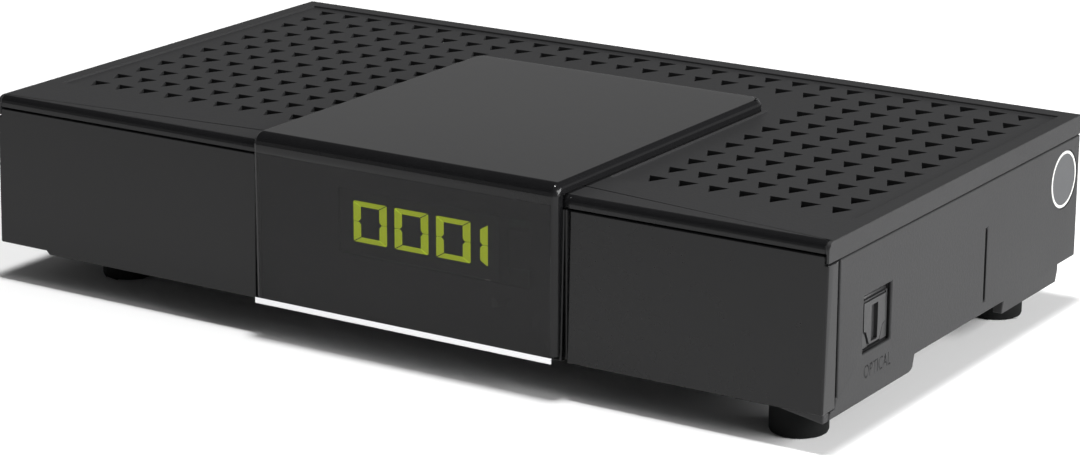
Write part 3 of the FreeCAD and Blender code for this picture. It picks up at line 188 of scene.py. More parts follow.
@dataclass(frozen=True)
class Metal:
    """Plated, tinned or anodised metal with a fine cloudy finish."""

    name: str
    colour: str
    roughness: float
    grain_mm: float = 0.6
    bump: float = 0.03
    spread: float = 0.3

    def material(self) -> bpy.types.Material:
        """Build the material.

        Returns:
            A metallic material with its grain on Object coordinates.
        """
        material = empty_material(self.name)
        tree = material.node_tree
        place = add_node(tree, "ShaderNodeTexCoord")
        grain = add_node(tree, "ShaderNodeTexNoise", {"Scale": 1 / (self.grain_mm * MM), "Detail": 4.0},
                         {"Vector": place.outputs["Object"]})
        gloss = add_node(tree, "ShaderNodeMapRange",
                         {"To Min": self.roughness * (1 - self.spread),
                          "To Max": self.roughness * (1 + self.spread)},
                         {"Value": grain.outputs["Fac"]})
        relief = add_node(tree, "ShaderNodeBump",
                          {"Strength": self.bump, "Distance": self.grain_mm * MM * GRAIN_RELIEF},
                          {"Height": grain.outputs["Fac"]})
        shader = add_node(tree, "ShaderNodeBsdfPrincipled",
                          {"Base Color": linear(self.colour), "Metallic": 1.0},
                          {"Roughness": gloss.outputs["Result"], "Normal": relief.outputs["Normal"]})
        add_node(tree, "ShaderNodeOutputMaterial", {}, {"Surface": shader.outputs["BSDF"]})
        return material


@dataclass(frozen=True)
class SmokedAcrylic:
    """Polished dark acrylic: mirrors like the gloss band round it, but lets a lit digit through."""

    name: str
    skin: MouldedPlastic
    clearness: float = 0.18

    def material(self) -> bpy.types.Material:
        """Build the material.

        Returns:
            The skin's material, mixed with a clear part.
        """
        material = self.skin.material()
        material.name = self.name
        tree = material.node_tree
        out = next(node for node in tree.nodes if node.type == "OUTPUT_MATERIAL")
        gloss = out.inputs["Surface"].links[0].from_socket
        clear = add_node(tree, "ShaderNodeBsdfTransparent")
        side = add_node(tree, "ShaderNodeNewGeometry")
        share = add_node(tree, "ShaderNodeMath", {"operation": "MAXIMUM", 1: self.clearness},
                         {0: side.outputs["Backfacing"]})
        both = add_node(tree, "ShaderNodeMixShader", {},
                        {0: share.outputs["Value"], 1: gloss, 2: clear.outputs["BSDF"]})
        tree.links.new(both.outputs["Shader"], out.inputs["Surface"])
        return material


@dataclass(frozen=True)
class LitResin:
    """Diffusing resin of a display segment, lit from behind."""

    name: str
    colour: str
    glow: float
    fleck_mm: float = 0.5
    smoothest: float = 0.35
    roughest: float = 0.55

    def material(self) -> bpy.types.Material:
        """Build the material.

        Returns:
            A matt resin that glows evenly, with a slightly uneven gloss.
        """
        material = empty_material(self.name)
        tree = material.node_tree
        place = add_node(tree, "ShaderNodeTexCoord")
        fleck = add_node(tree, "ShaderNodeTexNoise", {"Scale": 1 / (self.fleck_mm * MM)},
                         {"Vector": place.outputs["Object"]})
        shade = add_node(tree, "ShaderNodeMapRange", {"To Min": self.smoothest, "To Max": self.roughest},
                         {"Value": fleck.outputs["Fac"]})
        shader = add_node(tree, "ShaderNodeBsdfPrincipled",
                          {"Base Color": linear(self.colour), "Emission Color": linear(self.colour),
                           "Emission Strength": self.glow}, {"Roughness": shade.outputs["Result"]})
        add_node(tree, "ShaderNodeOutputMaterial", {}, {"Surface": shader.outputs["BSDF"]})
        return material


@dataclass(frozen=True)
class SolderMask:
    """Green printed board: mask over copper tracks on a coarse grid, with tinned pads."""

    name: str = "circuit_board"
    mask: str = "#14512a"
    track: str = "#1f6b38"
    pad: str = "#b9b8ae"
    pitch_mm: float = 2.54
    track_share: float = 0.06
    pad_spread: float = 2.0
    pad_radius: float = 0.14
    copper_mm: float = 0.05

    def material(self) -> bpy.types.Material:
        """Build the material.

        Returns:
            A glossy board with tracks and pads placed by Object coordinates.
        """
        material = empty_material(self.name)
        tree = material.node_tree
        place = add_node(tree, "ShaderNodeTexCoord")
        tracks = add_node(tree, "ShaderNodeTexBrick",
                          {"Scale": 1 / (self.pitch_mm * MM), "Mortar Size": self.track_share,
                           "Color1": linear(self.mask), "Color2": linear(self.mask),
                           "Mortar": linear(self.track)},
                          {"Vector": place.outputs["Object"]})
        cells = add_node(tree, "ShaderNodeTexVoronoi", {"Scale": 1 / (self.pad_spread * self.pitch_mm * MM)},
                         {"Vector": place.outputs["Object"]})
        dots = add_node(tree, "ShaderNodeMath", {"operation": "LESS_THAN", 1: self.pad_radius},
                        {0: cells.outputs["Distance"]})
        skin = add_node(tree, "ShaderNodeMix", {"data_type": "RGBA", MIX_SECOND: linear(self.pad)},
                        {0: dots.outputs["Value"], MIX_FIRST: tracks.outputs["Color"]})
        relief = add_node(tree, "ShaderNodeBump", {"Strength": 0.2, "Distance": self.copper_mm * MM},
                          {"Height": tracks.outputs["Fac"]})
        shader = add_node(tree, "ShaderNodeBsdfPrincipled", {"Roughness": 0.3},
                          {"Base Color": skin.outputs[MIX_RESULT], "Normal": relief.outputs["Normal"]})
        add_node(tree, "ShaderNodeOutputMaterial", {}, {"Surface": shader.outputs["BSDF"]})
        return material


Finish = MouldedPlastic | Metal | SmokedAcrylic | LitResin | SolderMask
POLISHED = MouldedPlastic("polished_abs", "#141415", "#171718", 0.16, 0.02, 3.0, 0.01, 0.26)
FINISHES = {
    # Spark-eroded ABS: a fine even grain that scatters light, so edges read soft and grey.
    "dark_abs": MouldedPlastic("textured_abs", "#1b1b1c", "#262627", 0.55, 0.04, 0.45, 0.22, 0.36),
    # Piano-black ABS from a polished tool: near black, it takes its grey from what it mirrors.
    "gloss_black": POLISHED,
    # Dark acrylic, polished like the band, that hides all but lit figures.
    "smoked_acrylic": SmokedAcrylic("smoked_acrylic", POLISHED),
    # Chrome-plated plastic trim: a bright mirror with a slight haze.
    "bright_chrome": Metal("chrome_plating", "#e6e6e8", 0.12, 1.5),
    # Yellow-green light guides, lit.
    "lit_green": LitResin("lit_resin", "#e2f81e", 1.5),
    # Matt black resin round the light guides.
    "module_black": MouldedPlastic("matt_resin", "#0c0c0c", "#121212", 0.6, 0.05, 0.4, 0.05, 0.3),
    # Green solder mask over copper tracks.
    "circuit_board": SolderMask(),
    # Zinc-plated screws: pale grey with a faint satin.
    "zinc_steel": Metal("zinc_plate", "#b9bcc0", 0.3, 0.8),
    # Glass-filled nylon of sockets: satin black.
    "socket_black": MouldedPlastic("socket_nylon", "#262627", "#303031", 0.46, 0.05, 0.35, 0.1, 0.4),
    # Clear red resin of the light emitter, polished.
    "emitter_red": MouldedPlastic("clear_red_resin", "#7a1410", "#8a1a14", 0.15, 0.03, 1.0, 0.01, 0.5),
    # Hot-tinned sheet: satin with cloudy spangle.
    "tinned_steel": Metal("tinned_sheet", "#b4b6b8", 0.28, 2.5),
    # Nickel-plated brass barrels: slightly warm mirror.
    "nickel_plate": Metal("nickel_plate", "#c2bdb2", 0.2, 1.0),
    # Moulded epoxy of chips: matt with a fine grain.
    "chip_epoxy": MouldedPlastic("moulded_epoxy", "#151517", "#1d1d20", 0.6, 0.05, 0.3, 0.1, 0.4),
    # Black anodised extrusion: satin.
    "black_aluminium": Metal("black_anodised_aluminium", "#2a2a2d", 0.38, 0.5),
    # Shrunk vinyl sleeve of capacitors: glossy blue-black.
    "capacitor_sleeve": MouldedPlastic("shrunk_sleeve", "#14161f", "#181a24", 0.25, 0.04, 1.0, 0.02, 0.5),
    # Pressed ferrite: dry dark grey.
    "ferrite": MouldedPlastic("pressed_ferrite", "#2a2a2c", "#3a3a3c", 0.65, 0.05, 0.3, 0.15, 0.4),
    # Natural nylon of the cable's header: ivory, slightly waxy.
    "header_white": MouldedPlastic("natural_nylon", "#d8d4c8", "#ddd9ce", 0.45, 0.05, 0.6, 0.05, 0.5),
    # Grey vinyl of the flat cable.
    "ribbon_grey": MouldedPlastic("flat_cable_pvc", "#8f9092", "#999a9c", 0.5, 0.05, 0.6, 0.05, 0.5),
    # Moulded rubber: matt and nearly black, with a dusty bloom.
    "black_rubber": MouldedPlastic("moulded_rubber", "#070808", "#0c0d0d", 0.8, 0.08, 0.5, 0.12, 0.15),
}
# Screen-printed white: matt and opaque.
PRINT_WHITE = MouldedPlastic("screen_print_white", "#c9c9c6", "#d4d4d1", 0.5, 0.05, 0.2, 0.02, 0.4)
# Matt foil of a bare sticker.
STICKER_GREY = MouldedPlastic("matt_foil", "#3a3b3d", "#434446", 0.45, 0.05, 0.3, 0.03, 0.4)
MADE: dict[str, bpy.types.Material] = {}


def finish_of(finish: Finish) -> bpy.types.Material:
    """Return the material of a finish, made once.

    Args:
        finish: Any finish of this file.

    Returns:
        Its material.
    """
    if finish.name not in MADE:
        MADE[finish.name] = finish.material()
    return MADE[finish.name]


def deselect() -> None:
    """Leave no object selected."""
    for item in bpy.context.view_layer.objects:
        item.select_set(False)


def activate(piece: bpy.types.Object) -> None:
    """Make a piece the only selected and active object.

    Args:
        piece: Object to activate.
    """
    deselect()
    piece.select_set(True)
    bpy.context.view_layer.objects.active = piece


def edit(piece: bpy.types.Object, select: str = "SELECT") -> None:
    """Enter edit mode on a piece with all or nothing selected.

    Args:
        piece: Mesh to edit.
        select: "SELECT" or "DESELECT".
    """
    activate(piece)
    bpy.ops.object.mode_set(mode="EDIT")
    bpy.ops.mesh.select_all(action=select)


def leave_edit() -> None:
    """Go back to object mode."""
    bpy.ops.object.mode_set(mode="OBJECT")


def bake_place(piece: bpy.types.Object) -> bpy.types.Object:
    """Put a piece's place, turn and scale into its mesh.

    Args:
        piece: Object to settle.

    Returns:
        The same object, standing at the origin.
    """
    activate(piece)
    bpy.ops.object.transform_apply(location=True, rotation=True, scale=True)
    return piece


def block(name: str, low: Vector, high: Vector) -> bpy.types.Object:
    """Start a piece from a cube between two corners.

    Args:
        name: Name of the piece.
        low: Lowest corner, in metres.
        high: Highest corner, in metres.

    Returns:
        The cube, with its place in its mesh.
    """
    deselect()
    bpy.ops.mesh.primitive_cube_add(size=1, location=(low + high) / 2)
    piece = bpy.context.active_object
    piece.name = name
    piece.scale = high - low
    return bake_place(piece)


def barrel(name: str, start: Vector, axis: Axis, radius: float, length: float,
           sides: int = 48) -> bpy.types.Object:
    """Start a piece from a cylinder that runs from a point along an axis.

    Args:
        name: Name of the piece.
        start: Centre of its first end, in metres.
        axis: Direction that it runs along.
        radius: Radius in metres.
        length: Length in metres.
        sides: Number of sides.

    Returns:
        The cylinder, with its place in its mesh.
    """
    deselect()
    bpy.ops.mesh.primitive_cylinder_add(vertices=sides, radius=radius, depth=length, location=(0, 0, 0))
    piece = bpy.context.active_object
    piece.name = name
    turn = Matrix.Rotation(axis.value[0], 4, "X") @ Matrix.Rotation(axis.value[1], 4, "Y")
    middle = start + turn.to_3x3() @ Vector((0, 0, length / 2))
    piece.matrix_world = Matrix.Translation(middle) @ turn
    return bake_place(piece)


def apply_modifier(piece: bpy.types.Object, kind: str, **settings) -> bpy.types.Object:
    """Add a modifier and apply it.

    Args:
        piece: Mesh to change.
        kind: Blender's type name of the modifier.
        **settings: Attributes of the modifier.

    Returns:
        The same object.
    """
    activate(piece)
    modifier = piece.modifiers.new(kind.lower(), kind)
    for key, value in settings.items():
        setattr(modifier, key, value)
    bpy.ops.object.modifier_apply(modifier=modifier.name)
    return piece


def prism(name: str, outline: list[tuple[float, float]], start: float, end: float) -> bpy.types.Object:
    """Start a piece from a flat outline seen from the right, drawn out to the side.

    Args:
        name: Name of the piece.
        outline: Corners as depth and height, in metres.
        start: Where it begins, to the side.
        end: Where it ends.

    Returns:
        The closed prism.
    """
    deselect()
    bpy.ops.mesh.primitive_circle_add(vertices=len(outline), radius=1, fill_type="NGON")
    piece = bpy.context.active_object
    piece.name = name
    for vertex, (depth, height) in zip(piece.data.vertices, outline):
        vertex.co = (start, depth, height)
    edit(piece)
    bpy.ops.mesh.extrude_region_move(TRANSFORM_OT_translate={"value": (end - start, 0, 0)})
    bpy.ops.mesh.select_all(action="SELECT")
    bpy.ops.mesh.normals_make_consistent(inside=False)
    leave_edit()
    return bake_place(piece)


def soften(piece: bpy.types.Object, width: float, segments: int = 2, angle: float = 35.0) -> bpy.types.Object:
    """Shade a piece smooth between its sharp edges, then round those.

    Args:
        piece: Mesh to soften.
        width: Bevel width in metres.
        segments: Steps of each rounding.
        angle: Least angle in degrees that counts as sharp.

    Returns:
        The same object.
    """
    activate(piece)
    bpy.ops.object.shade_smooth_by_angle(angle=math.radians(angle))
    apply_modifier(piece, "BEVEL", width=width, segments=segments, limit_method="ANGLE",
                   angle_limit=math.radians(angle), harden_normals=False, use_clamp_overlap=False)
    apply_modifier(piece, "WEIGHTED_NORMAL", mode="FACE_AREA", weight=100, keep_sharp=True)
    return piece


def combine(piece: bpy.types.Object, tool: bpy.types.Object, fit: Fit) -> bpy.types.Object:
    """Cut a tool from a piece, or keep only what lies inside the tool, and drop the tool.

    Args:
        piece: Mesh that stays.
        tool: Mesh that is used up.
        fit: Whether the tool cuts or keeps.

    Returns:
        The changed piece.
    """
    apply_modifier(piece, "BOOLEAN", operation=fit.value, object=tool, solver="EXACT")
    bpy.data.objects.remove(tool)
    return piece


def merged(name: str, pieces: list[bpy.types.Object]) -> bpy.types.Object:
    """Join several meshes into one object without changing them.

    Args:
        name: Name of the result.
        pieces: Meshes to join.

    Returns:
        One object that holds them all.
    """
    deselect()
    for piece in pieces:
        piece.select_set(True)
    bpy.context.view_layer.objects.active = pieces[0]
    if len(pieces) > 1:
        bpy.ops.object.join()
    result = bpy.context.active_object
    result.name = name
    return result


def solid_copy(node: str, name: str) -> bpy.types.Object:
    """Copy a solid of the frame as a clean mesh to work on.

    Args:
        node: Name of the solid.
        name: Name of the copy.

    Returns:
        A copy with its doubles merged.
    """
    piece = bpy.data.objects.new(name, frame["nodes"][node].data.copy())
    piece.data.materials.clear()
    bpy.context.scene.collection.objects.link(piece)
    edit(piece)
    bpy.ops.mesh.remove_doubles(threshold=DOUBLES)
    leave_edit()
    return piece


def dress(piece: bpy.types.Object, finish: Finish, body: str = CASING,
          stands_for: tuple[str, ...] = ()) -> None:
    """Give a finished piece its material, slot and body, and hide the solids that it stands for.

    Args:
        piece: Finished mesh.
        finish: Finish to dress it in.
        body: Body that carries it.
        stands_for: Solids that it replaces.
    """
    piece.data.materials.clear()
    piece.data.materials.append(finish_of(finish))
    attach(piece, body)
    for node in stands_for:
        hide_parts(node)
    LOG.info("%s: %d faces on %s", piece.name, len(piece.data.polygons), body)


def lettering(name: str, words: str, size: float, depth: float, place: Vector, facing: Vector,
              width: float = 0.0) -> bpy.types.Object:
    """Write generic words as a thin plate of letters.

    Args:
        name: Name of the piece.
        words: What it says.
        size: Height of a capital, in metres.
        depth: How far the letters reach to either side of their plane.
        place: Middle of the words' foot.
        facing: Direction that the words face.
        width: Width that the words are fitted to, or 0 for their own.

    Returns:
        The words as a mesh with its place in it.
    """
    deselect()
    bpy.ops.object.text_add(location=(0, 0, 0))
    text = bpy.context.active_object
    text.data.body = words
    text.data.size = size / CAPITAL_SHARE
    text.data.align_x = "CENTER"
    text.data.extrude = depth
    text.data.resolution_u = 3
    activate(text)
    bpy.ops.object.convert(target="MESH")
    piece = bpy.context.active_object
    piece.name = name
    if width:
        piece.scale.x = width / piece.dimensions.x
    piece.rotation_euler = facing.to_track_quat("Z", "Y").to_euler()
    piece.location = place
    bake_place(piece)
    edit(piece)
    bpy.ops.mesh.remove_doubles(threshold=DOUBLES)
    leave_edit()
    return piece


TO_THE_RIGHT = Vector((1, 0, 0))
TO_THE_REAR = Vector((0, 1, 0))


def loose_parts(piece: bpy.types.Object) -> list[bpy.types.Object]:
    """Part a mesh into its separate shells.

    Args:
        piece: Mesh that is used up.

    Returns:
        One object for each shell.
    """
    edit(piece)
    bpy.ops.mesh.separate(type="LOOSE")
    leave_edit()
    return list(bpy.context.selected_objects)


def corners_of(piece: bpy.types.Object) -> tuple[Vector, Vector]:
    """Return the corners of a piece that stands at the origin.

    Args:
        piece: Mesh with its place in it.

    Returns:
        Its lowest and its highest corner.
    """
    spots = [vertex.co for vertex in piece.data.vertices]
    low = Vector([min(spot[axis] for spot in spots) for axis in range(3)])
    high = Vector([max(spot[axis] for spot in spots) for axis in range(3)])
    return low, high


@dataclass
class Sticker:
    """Bare round sticker with a printed ring, in a shallow pocket of the right wall."""

    place: tuple[float, float, float] = (84.0 * MM, 36.7 * MM, 23.6 * MM)
    radius: float = 5.2 * MM
    pocket_radius: float = 5.3333 * MM
    pocket_depth: float = 0.12 * MM
    foil: float = 0.04 * MM
    foil_edge: float = 0.01 * MM
    ring_outside: float = 5.0667 * MM
    ring_inside: float = 4.6 * MM
    ring_height: float = 0.072 * MM
    sides: int = 64

    def disc(self, name: str, radius: float, height: float, below: float = 0.0) -> bpy.types.Object:
        """Start a disc that stands on the pocket's floor.

        Args:
            name: Name of the disc.
            radius: Its radius in metres.
            height: How far it reaches outwards.
            below: How far under the floor it starts.

        Returns:
            The disc.
        """
        floor = Vector(self.place) - TO_THE_RIGHT * (self.pocket_depth + below)
        return barrel(name, floor, Axis.X, radius, height, self.sides)

    def sink(self, wall: bpy.types.Object) -> None:
        """Cut the sticker's pocket into a wall.

        Args:
            wall: Mesh to cut.
        """
        combine(wall, self.disc("pocket", self.pocket_radius, 2 * self.pocket_depth), Fit.CUT)

    def build(self) -> None:
        """Build the foil and the ring on it."""
        foil = soften(self.disc("sticker_foil", self.radius, self.foil), self.foil_edge, 1)
        dress(foil, STICKER_GREY)
        ring = self.disc("sticker_ring", self.ring_outside, self.ring_height)
        combine(ring, self.disc("inside", self.ring_inside, 3 * MM, MM), Fit.CUT)
        dress(ring, PRINT_WHITE)


@dataclass
class Casing:
    """Cover, tray, fascia, rear panel and feet."""

    edge: float = 0.28 * MM
    vent_edge: float = 0.1 * MM
    foot_edge: float = 0.5 * MM
    lip_depth: float = 1.5 * MM
    lip_rise: float = 2.2 * MM
    lip_inset: float = 0.7 * MM
    word_place: tuple[float, float, float] = (84.0 * MM, -33.5 * MM, 8.35 * MM)
    word_size: float = 2.3 * MM
    word_width: float = 9.2 * MM
    engraving: float = 0.16 * MM

    def cover(self) -> None:
        """Build the cover, with its front lip polished like the fascia below it."""
        low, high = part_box("top_cover")
        start = Vector((low.x + self.lip_inset, low.y - self.lip_depth, high.z - self.lip_rise))
        end = Vector((high.x - self.lip_inset, low.y + self.lip_depth, high.z + self.lip_rise))
        for name, fit, slot in (("cover_lip", Fit.KEEP, "gloss_black"), ("cover_shell", Fit.CUT, "dark_abs")):
            shell = combine(solid_copy("top_cover", name), block("zone", start, end), fit)
            dress(soften(shell, self.vent_edge), FINISHES[slot], stands_for=("top_cover",))

    def tray(self) -> None:
        """Build the tray with its engraved word and its sticker."""
        tray = soften(solid_copy("base_tray", "tray_shell"), self.edge)
        word = lettering("word", "OPTICAL", self.word_size, self.engraving, Vector(self.word_place),
                         TO_THE_RIGHT, self.word_width)
        combine(tray, word, Fit.CUT)
        sticker = Sticker()
        sticker.sink(tray)
        apply_modifier(tray, "WEIGHTED_NORMAL", mode="FACE_AREA", weight=100, keep_sharp=True)
        dress(tray, FINISHES["dark_abs"], stands_for=("base_tray",))
        sticker.build()

    def build(self) -> None:
        """Build the outer shells with their moulded edges."""
        self.cover()
        self.tray()
        fascia = soften(solid_copy("front_fascia", "fascia_shell"), self.edge)
        dress(fascia, FINISHES["gloss_black"], stands_for=("front_fascia",))
        panel = soften(solid_copy("rear_panel", "rear_plate"), self.edge / 2)
        dress(panel, FINISHES["dark_abs"], stands_for=("rear_panel",))
        for node in ("front_right_foot", "front_left_foot", "rear_right_foot", "rear_left_foot"):
            pad = soften(solid_copy(node, node + "_rubber"), self.foot_edge)
            dress(pad, FINISHES["black_rubber"], stands_for=(node,))


@dataclass
class Band:
    """Raised gloss band, its see-through lens and the bright strip under it."""

    edge: float = 0.3 * MM
    edge_angle: float = math.radians(25)
    lens_gap: float = 0.1 * MM
    seam: float = 0.02 * MM
    strip_edge: float = 0.12 * MM
    reach: float = 0.6 * MM

    def rounded_band(self) -> bpy.types.Object:
        """Round the band's own edges but not those that the lens lies against.

        Returns:
            The band.
        """
        band = solid_copy("centre_band", "band_shell")
        low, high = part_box("display_lens")
        deep = low.y + 3 * self.reach
        mesh = bmesh.new()
        mesh.from_mesh(band.data)
        weight = mesh.edges.layers.float.new("bevel_weight_edge")
        for rim in mesh.edges:
            at_lens = all(low.x - self.reach < spot.co.x < high.x + self.reach and spot.co.y < deep
                          and spot.co.z < high.z + self.reach for spot in rim.verts)
            if not at_lens and rim.calc_face_angle(0) > self.edge_angle:
                rim[weight] = 1.0
        mesh.to_mesh(band.data)
        mesh.free()
        activate(band)
        bpy.ops.object.shade_smooth_by_angle(angle=self.edge_angle)
        apply_modifier(band, "BEVEL", width=self.edge, segments=3, limit_method="WEIGHT",
                       use_clamp_overlap=False)
        return apply_modifier(band, "WEIGHTED_NORMAL", mode="FACE_AREA", weight=100, keep_sharp=True)

    def fitted_lens(self) -> bpy.types.Object:
        """Grow the lens to both sides and upwards until only a hair's seam is left.

        Returns:
            The lens.
        """
        lens = solid_copy("display_lens", "lens_plate")
        low, high = corners_of(lens)
        growth = self.lens_gap - self.seam
        for vertex in lens.data.vertices:
            if vertex.co.x < low.x + self.seam:
                vertex.co.x -= growth
            if vertex.co.x > high.x - self.seam:
                vertex.co.x += growth
            if vertex.co.z > high.z - self.seam:
                vertex.co.z += growth
        return lens

    def build(self) -> None:
        """Build the band's three pieces."""
        dress(self.rounded_band(), FINISHES["gloss_black"], stands_for=("centre_band",))
        dress(soften(self.fitted_lens(), self.seam, 1), FINISHES["smoked_acrylic"],
              stands_for=("display_lens",))
        strip = soften(solid_copy("trim_strip", "chrome_strip"), self.strip_edge)
        dress(strip, FINISHES["bright_chrome"], stands_for=("trim_strip",))


@dataclass
class OpticalSocket:
    """Dust flap of the optical socket: a grooved plug outline and a deep slot."""

    middle: float = -33.9 * MM
    top: float = 20.6 * MM
    foot: float = 13.4 * MM
    waist: float = 15.97 * MM
    half_widths: tuple[float, float, float] = (3.65 * MM, 2.8 * MM, 1.7 * MM)
    shoulder: float = 0.35 * MM
    groove: float = 0.38 * MM
    groove_depth: float = 0.4 * MM
    slot_half: float = 1.1 * MM
    slot_depth: float = 0.75 * MM
    slot_height: float = 6.0 * MM
    edge: float = 0.04 * MM

    def outline(self, growth: float) -> list[tuple[float, float]]:
        """Return the plug's outline, grown on all sides.

        Args:
            growth: How far it grows, in metres.

        Returns:
            Corners as depth and height.
        """
        wide, narrow, tip = (half + growth for half in self.half_widths)
        shoulder = self.waist - self.shoulder
        right = [(wide, self.top + growth), (wide, self.waist - growth / 2), (narrow, shoulder - growth / 2),
                 (tip, self.foot - growth)]
        left = [(-depth, height) for depth, height in reversed(right)]
        return [(self.middle + depth, height) for depth, height in right + left]

    def build(self) -> None:
        """Build the flap."""
        _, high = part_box("optical_shutter")
        flap = solid_copy("optical_shutter", "shutter_flap")
        bottom = high.x - self.groove_depth
        ring = prism("ring", self.outline(self.groove), bottom, high.x + MM)
        combine(ring, prism("kept", self.outline(0.0), bottom - MM, high.x + 2 * MM), Fit.CUT)
        combine(flap, ring, Fit.CUT)
        slot_foot = self.foot + self.shoulder
        slot = block("slot", Vector((high.x - self.slot_depth, self.middle - self.slot_half, slot_foot)),
                     Vector((high.x + MM, self.middle + self.slot_half, slot_foot + self.slot_height)))
        combine(flap, slot, Fit.CUT)
        dress(soften(flap, self.edge, 1), FINISHES["socket_black"], SHUTTER,
              stands_for=("optical_shutter",))


@dataclass
class RearSockets:
    """Threads, rocker marks, inlet pin and screws that the back and the underside show."""

    thread_pitch: float = 0.8 * MM
    thread_depth: float = 0.2 * MM
    barrel_radius: float = 4.75 * MM
    thread_count: int = 10
    thread_edge: float = 0.03 * MM
    mark_size: float = 1.5 * MM
    mark_depth: float = 0.2 * MM
    marks: tuple[tuple[str, float], ...] = (("I", 0.72), ("O", 0.14))
    rocker_edge: float = 0.12 * MM
    pin_radius: float = 1.03 * MM
    pin_depth: float = 9.0 * MM
    pin_setback: float = 1.0 * MM
    pin_edge: float = 0.3 * MM
    recess_length: float = 2.6 * MM
    recess_width: float = 0.55 * MM
    recess_depth: float = 0.9 * MM
    screw_edge: float = 0.08 * MM

    def threads(self) -> None:
        """Cut the threads of both aerial sockets."""
        for node in ("aerial_in_socket", "aerial_out_socket"):
            low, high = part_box(node)
            middle = (low + high) / 2
            rings = []
            for index in range(self.thread_count):
                deselect()
                place = (middle.x, high.y - (index + 1) * self.thread_pitch, middle.z)
                bpy.ops.mesh.primitive_torus_add(
                    major_radius=self.barrel_radius, minor_radius=self.thread_depth, major_segments=48,
                    minor_segments=6, location=place, rotation=(math.pi / 2, 0, 0))
                rings.append(bake_place(bpy.context.active_object))
            threaded = combine(solid_copy(node, node + "_threaded"), merged("rings", rings), Fit.CUT)
            dress(soften(threaded, self.thread_edge, 1), FINISHES["nickel_plate"],
                  stands_for=(node,))

    def rocker(self) -> None:
        """Engrave the rocker's two marks where its faces lie at rest."""
        low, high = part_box("power_switch_rocker")
        rocker = solid_copy("power_switch_rocker", "rocker_cap")
        middle = (low + high) / 2
        for label, share in self.marks:
            spot = Vector((middle.x, high.y + MM, low.z + share * (high.z - low.z)))
            hit, place, normal, _ = rocker.ray_cast(spot + Vector((0, 0, self.mark_size / 2)), -TO_THE_REAR)
            if hit:
                foot = place - Vector((0, 0, self.mark_size / 2))
                mark = lettering("mark", label, self.mark_size, self.mark_depth, foot, normal)
                combine(rocker, mark, Fit.CUT)
        dress(soften(rocker, self.rocker_edge), FINISHES["socket_black"], ROCKER,
              stands_for=("power_switch_rocker",))

    def screws(self, node: str, head_up: bool) -> None:
        """Cut cross recesses into screw heads.

        Args:
            node: Solid that holds the screws.
            head_up: Whether the heads are at the top.
        """
        done = []
        for screw in loose_parts(solid_copy(node, node + "_crossed")):
            low, high = corners_of(screw)
            centre = (low + high) / 2
            centre.z = high.z if head_up else low.z
            across = (self.recess_length, self.recess_width)
            for length, width in (across, across[::-1]):
                half = Vector((length / 2, width / 2, self.recess_depth))
                combine(screw, block("cross", centre - half, centre + half), Fit.CUT)
            done.append(soften(screw, self.screw_edge))
        dress(merged(node + "_crossed", done), FINISHES["zinc_steel"], stands_for=(node,))

    def inlet_pin(self) -> None:
        """Stand the rounded pin in the power inlet's bore."""
        low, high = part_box("dc_socket")
        start = Vector(((low.x + high.x) / 2, high.y - self.pin_depth, (low.z + high.z) / 2))
        pin = barrel("dc_pin", start, Axis.Y, self.pin_radius, self.pin_depth - self.pin_setback, 24)
        dress(soften(pin, self.pin_edge, 3), FINISHES["nickel_plate"])

    def build(self) -> None:
        """Build everything that the back and the underside show."""
        self.threads()
        self.rocker()
        self.screws("cover_screws", False)
        self.screws("board_screws", True)
        self.inlet_pin()


class Stroke(Enum):
    """Strokes that a shown figure can consist of."""

    RING = "0"
    UPRIGHT = "1"


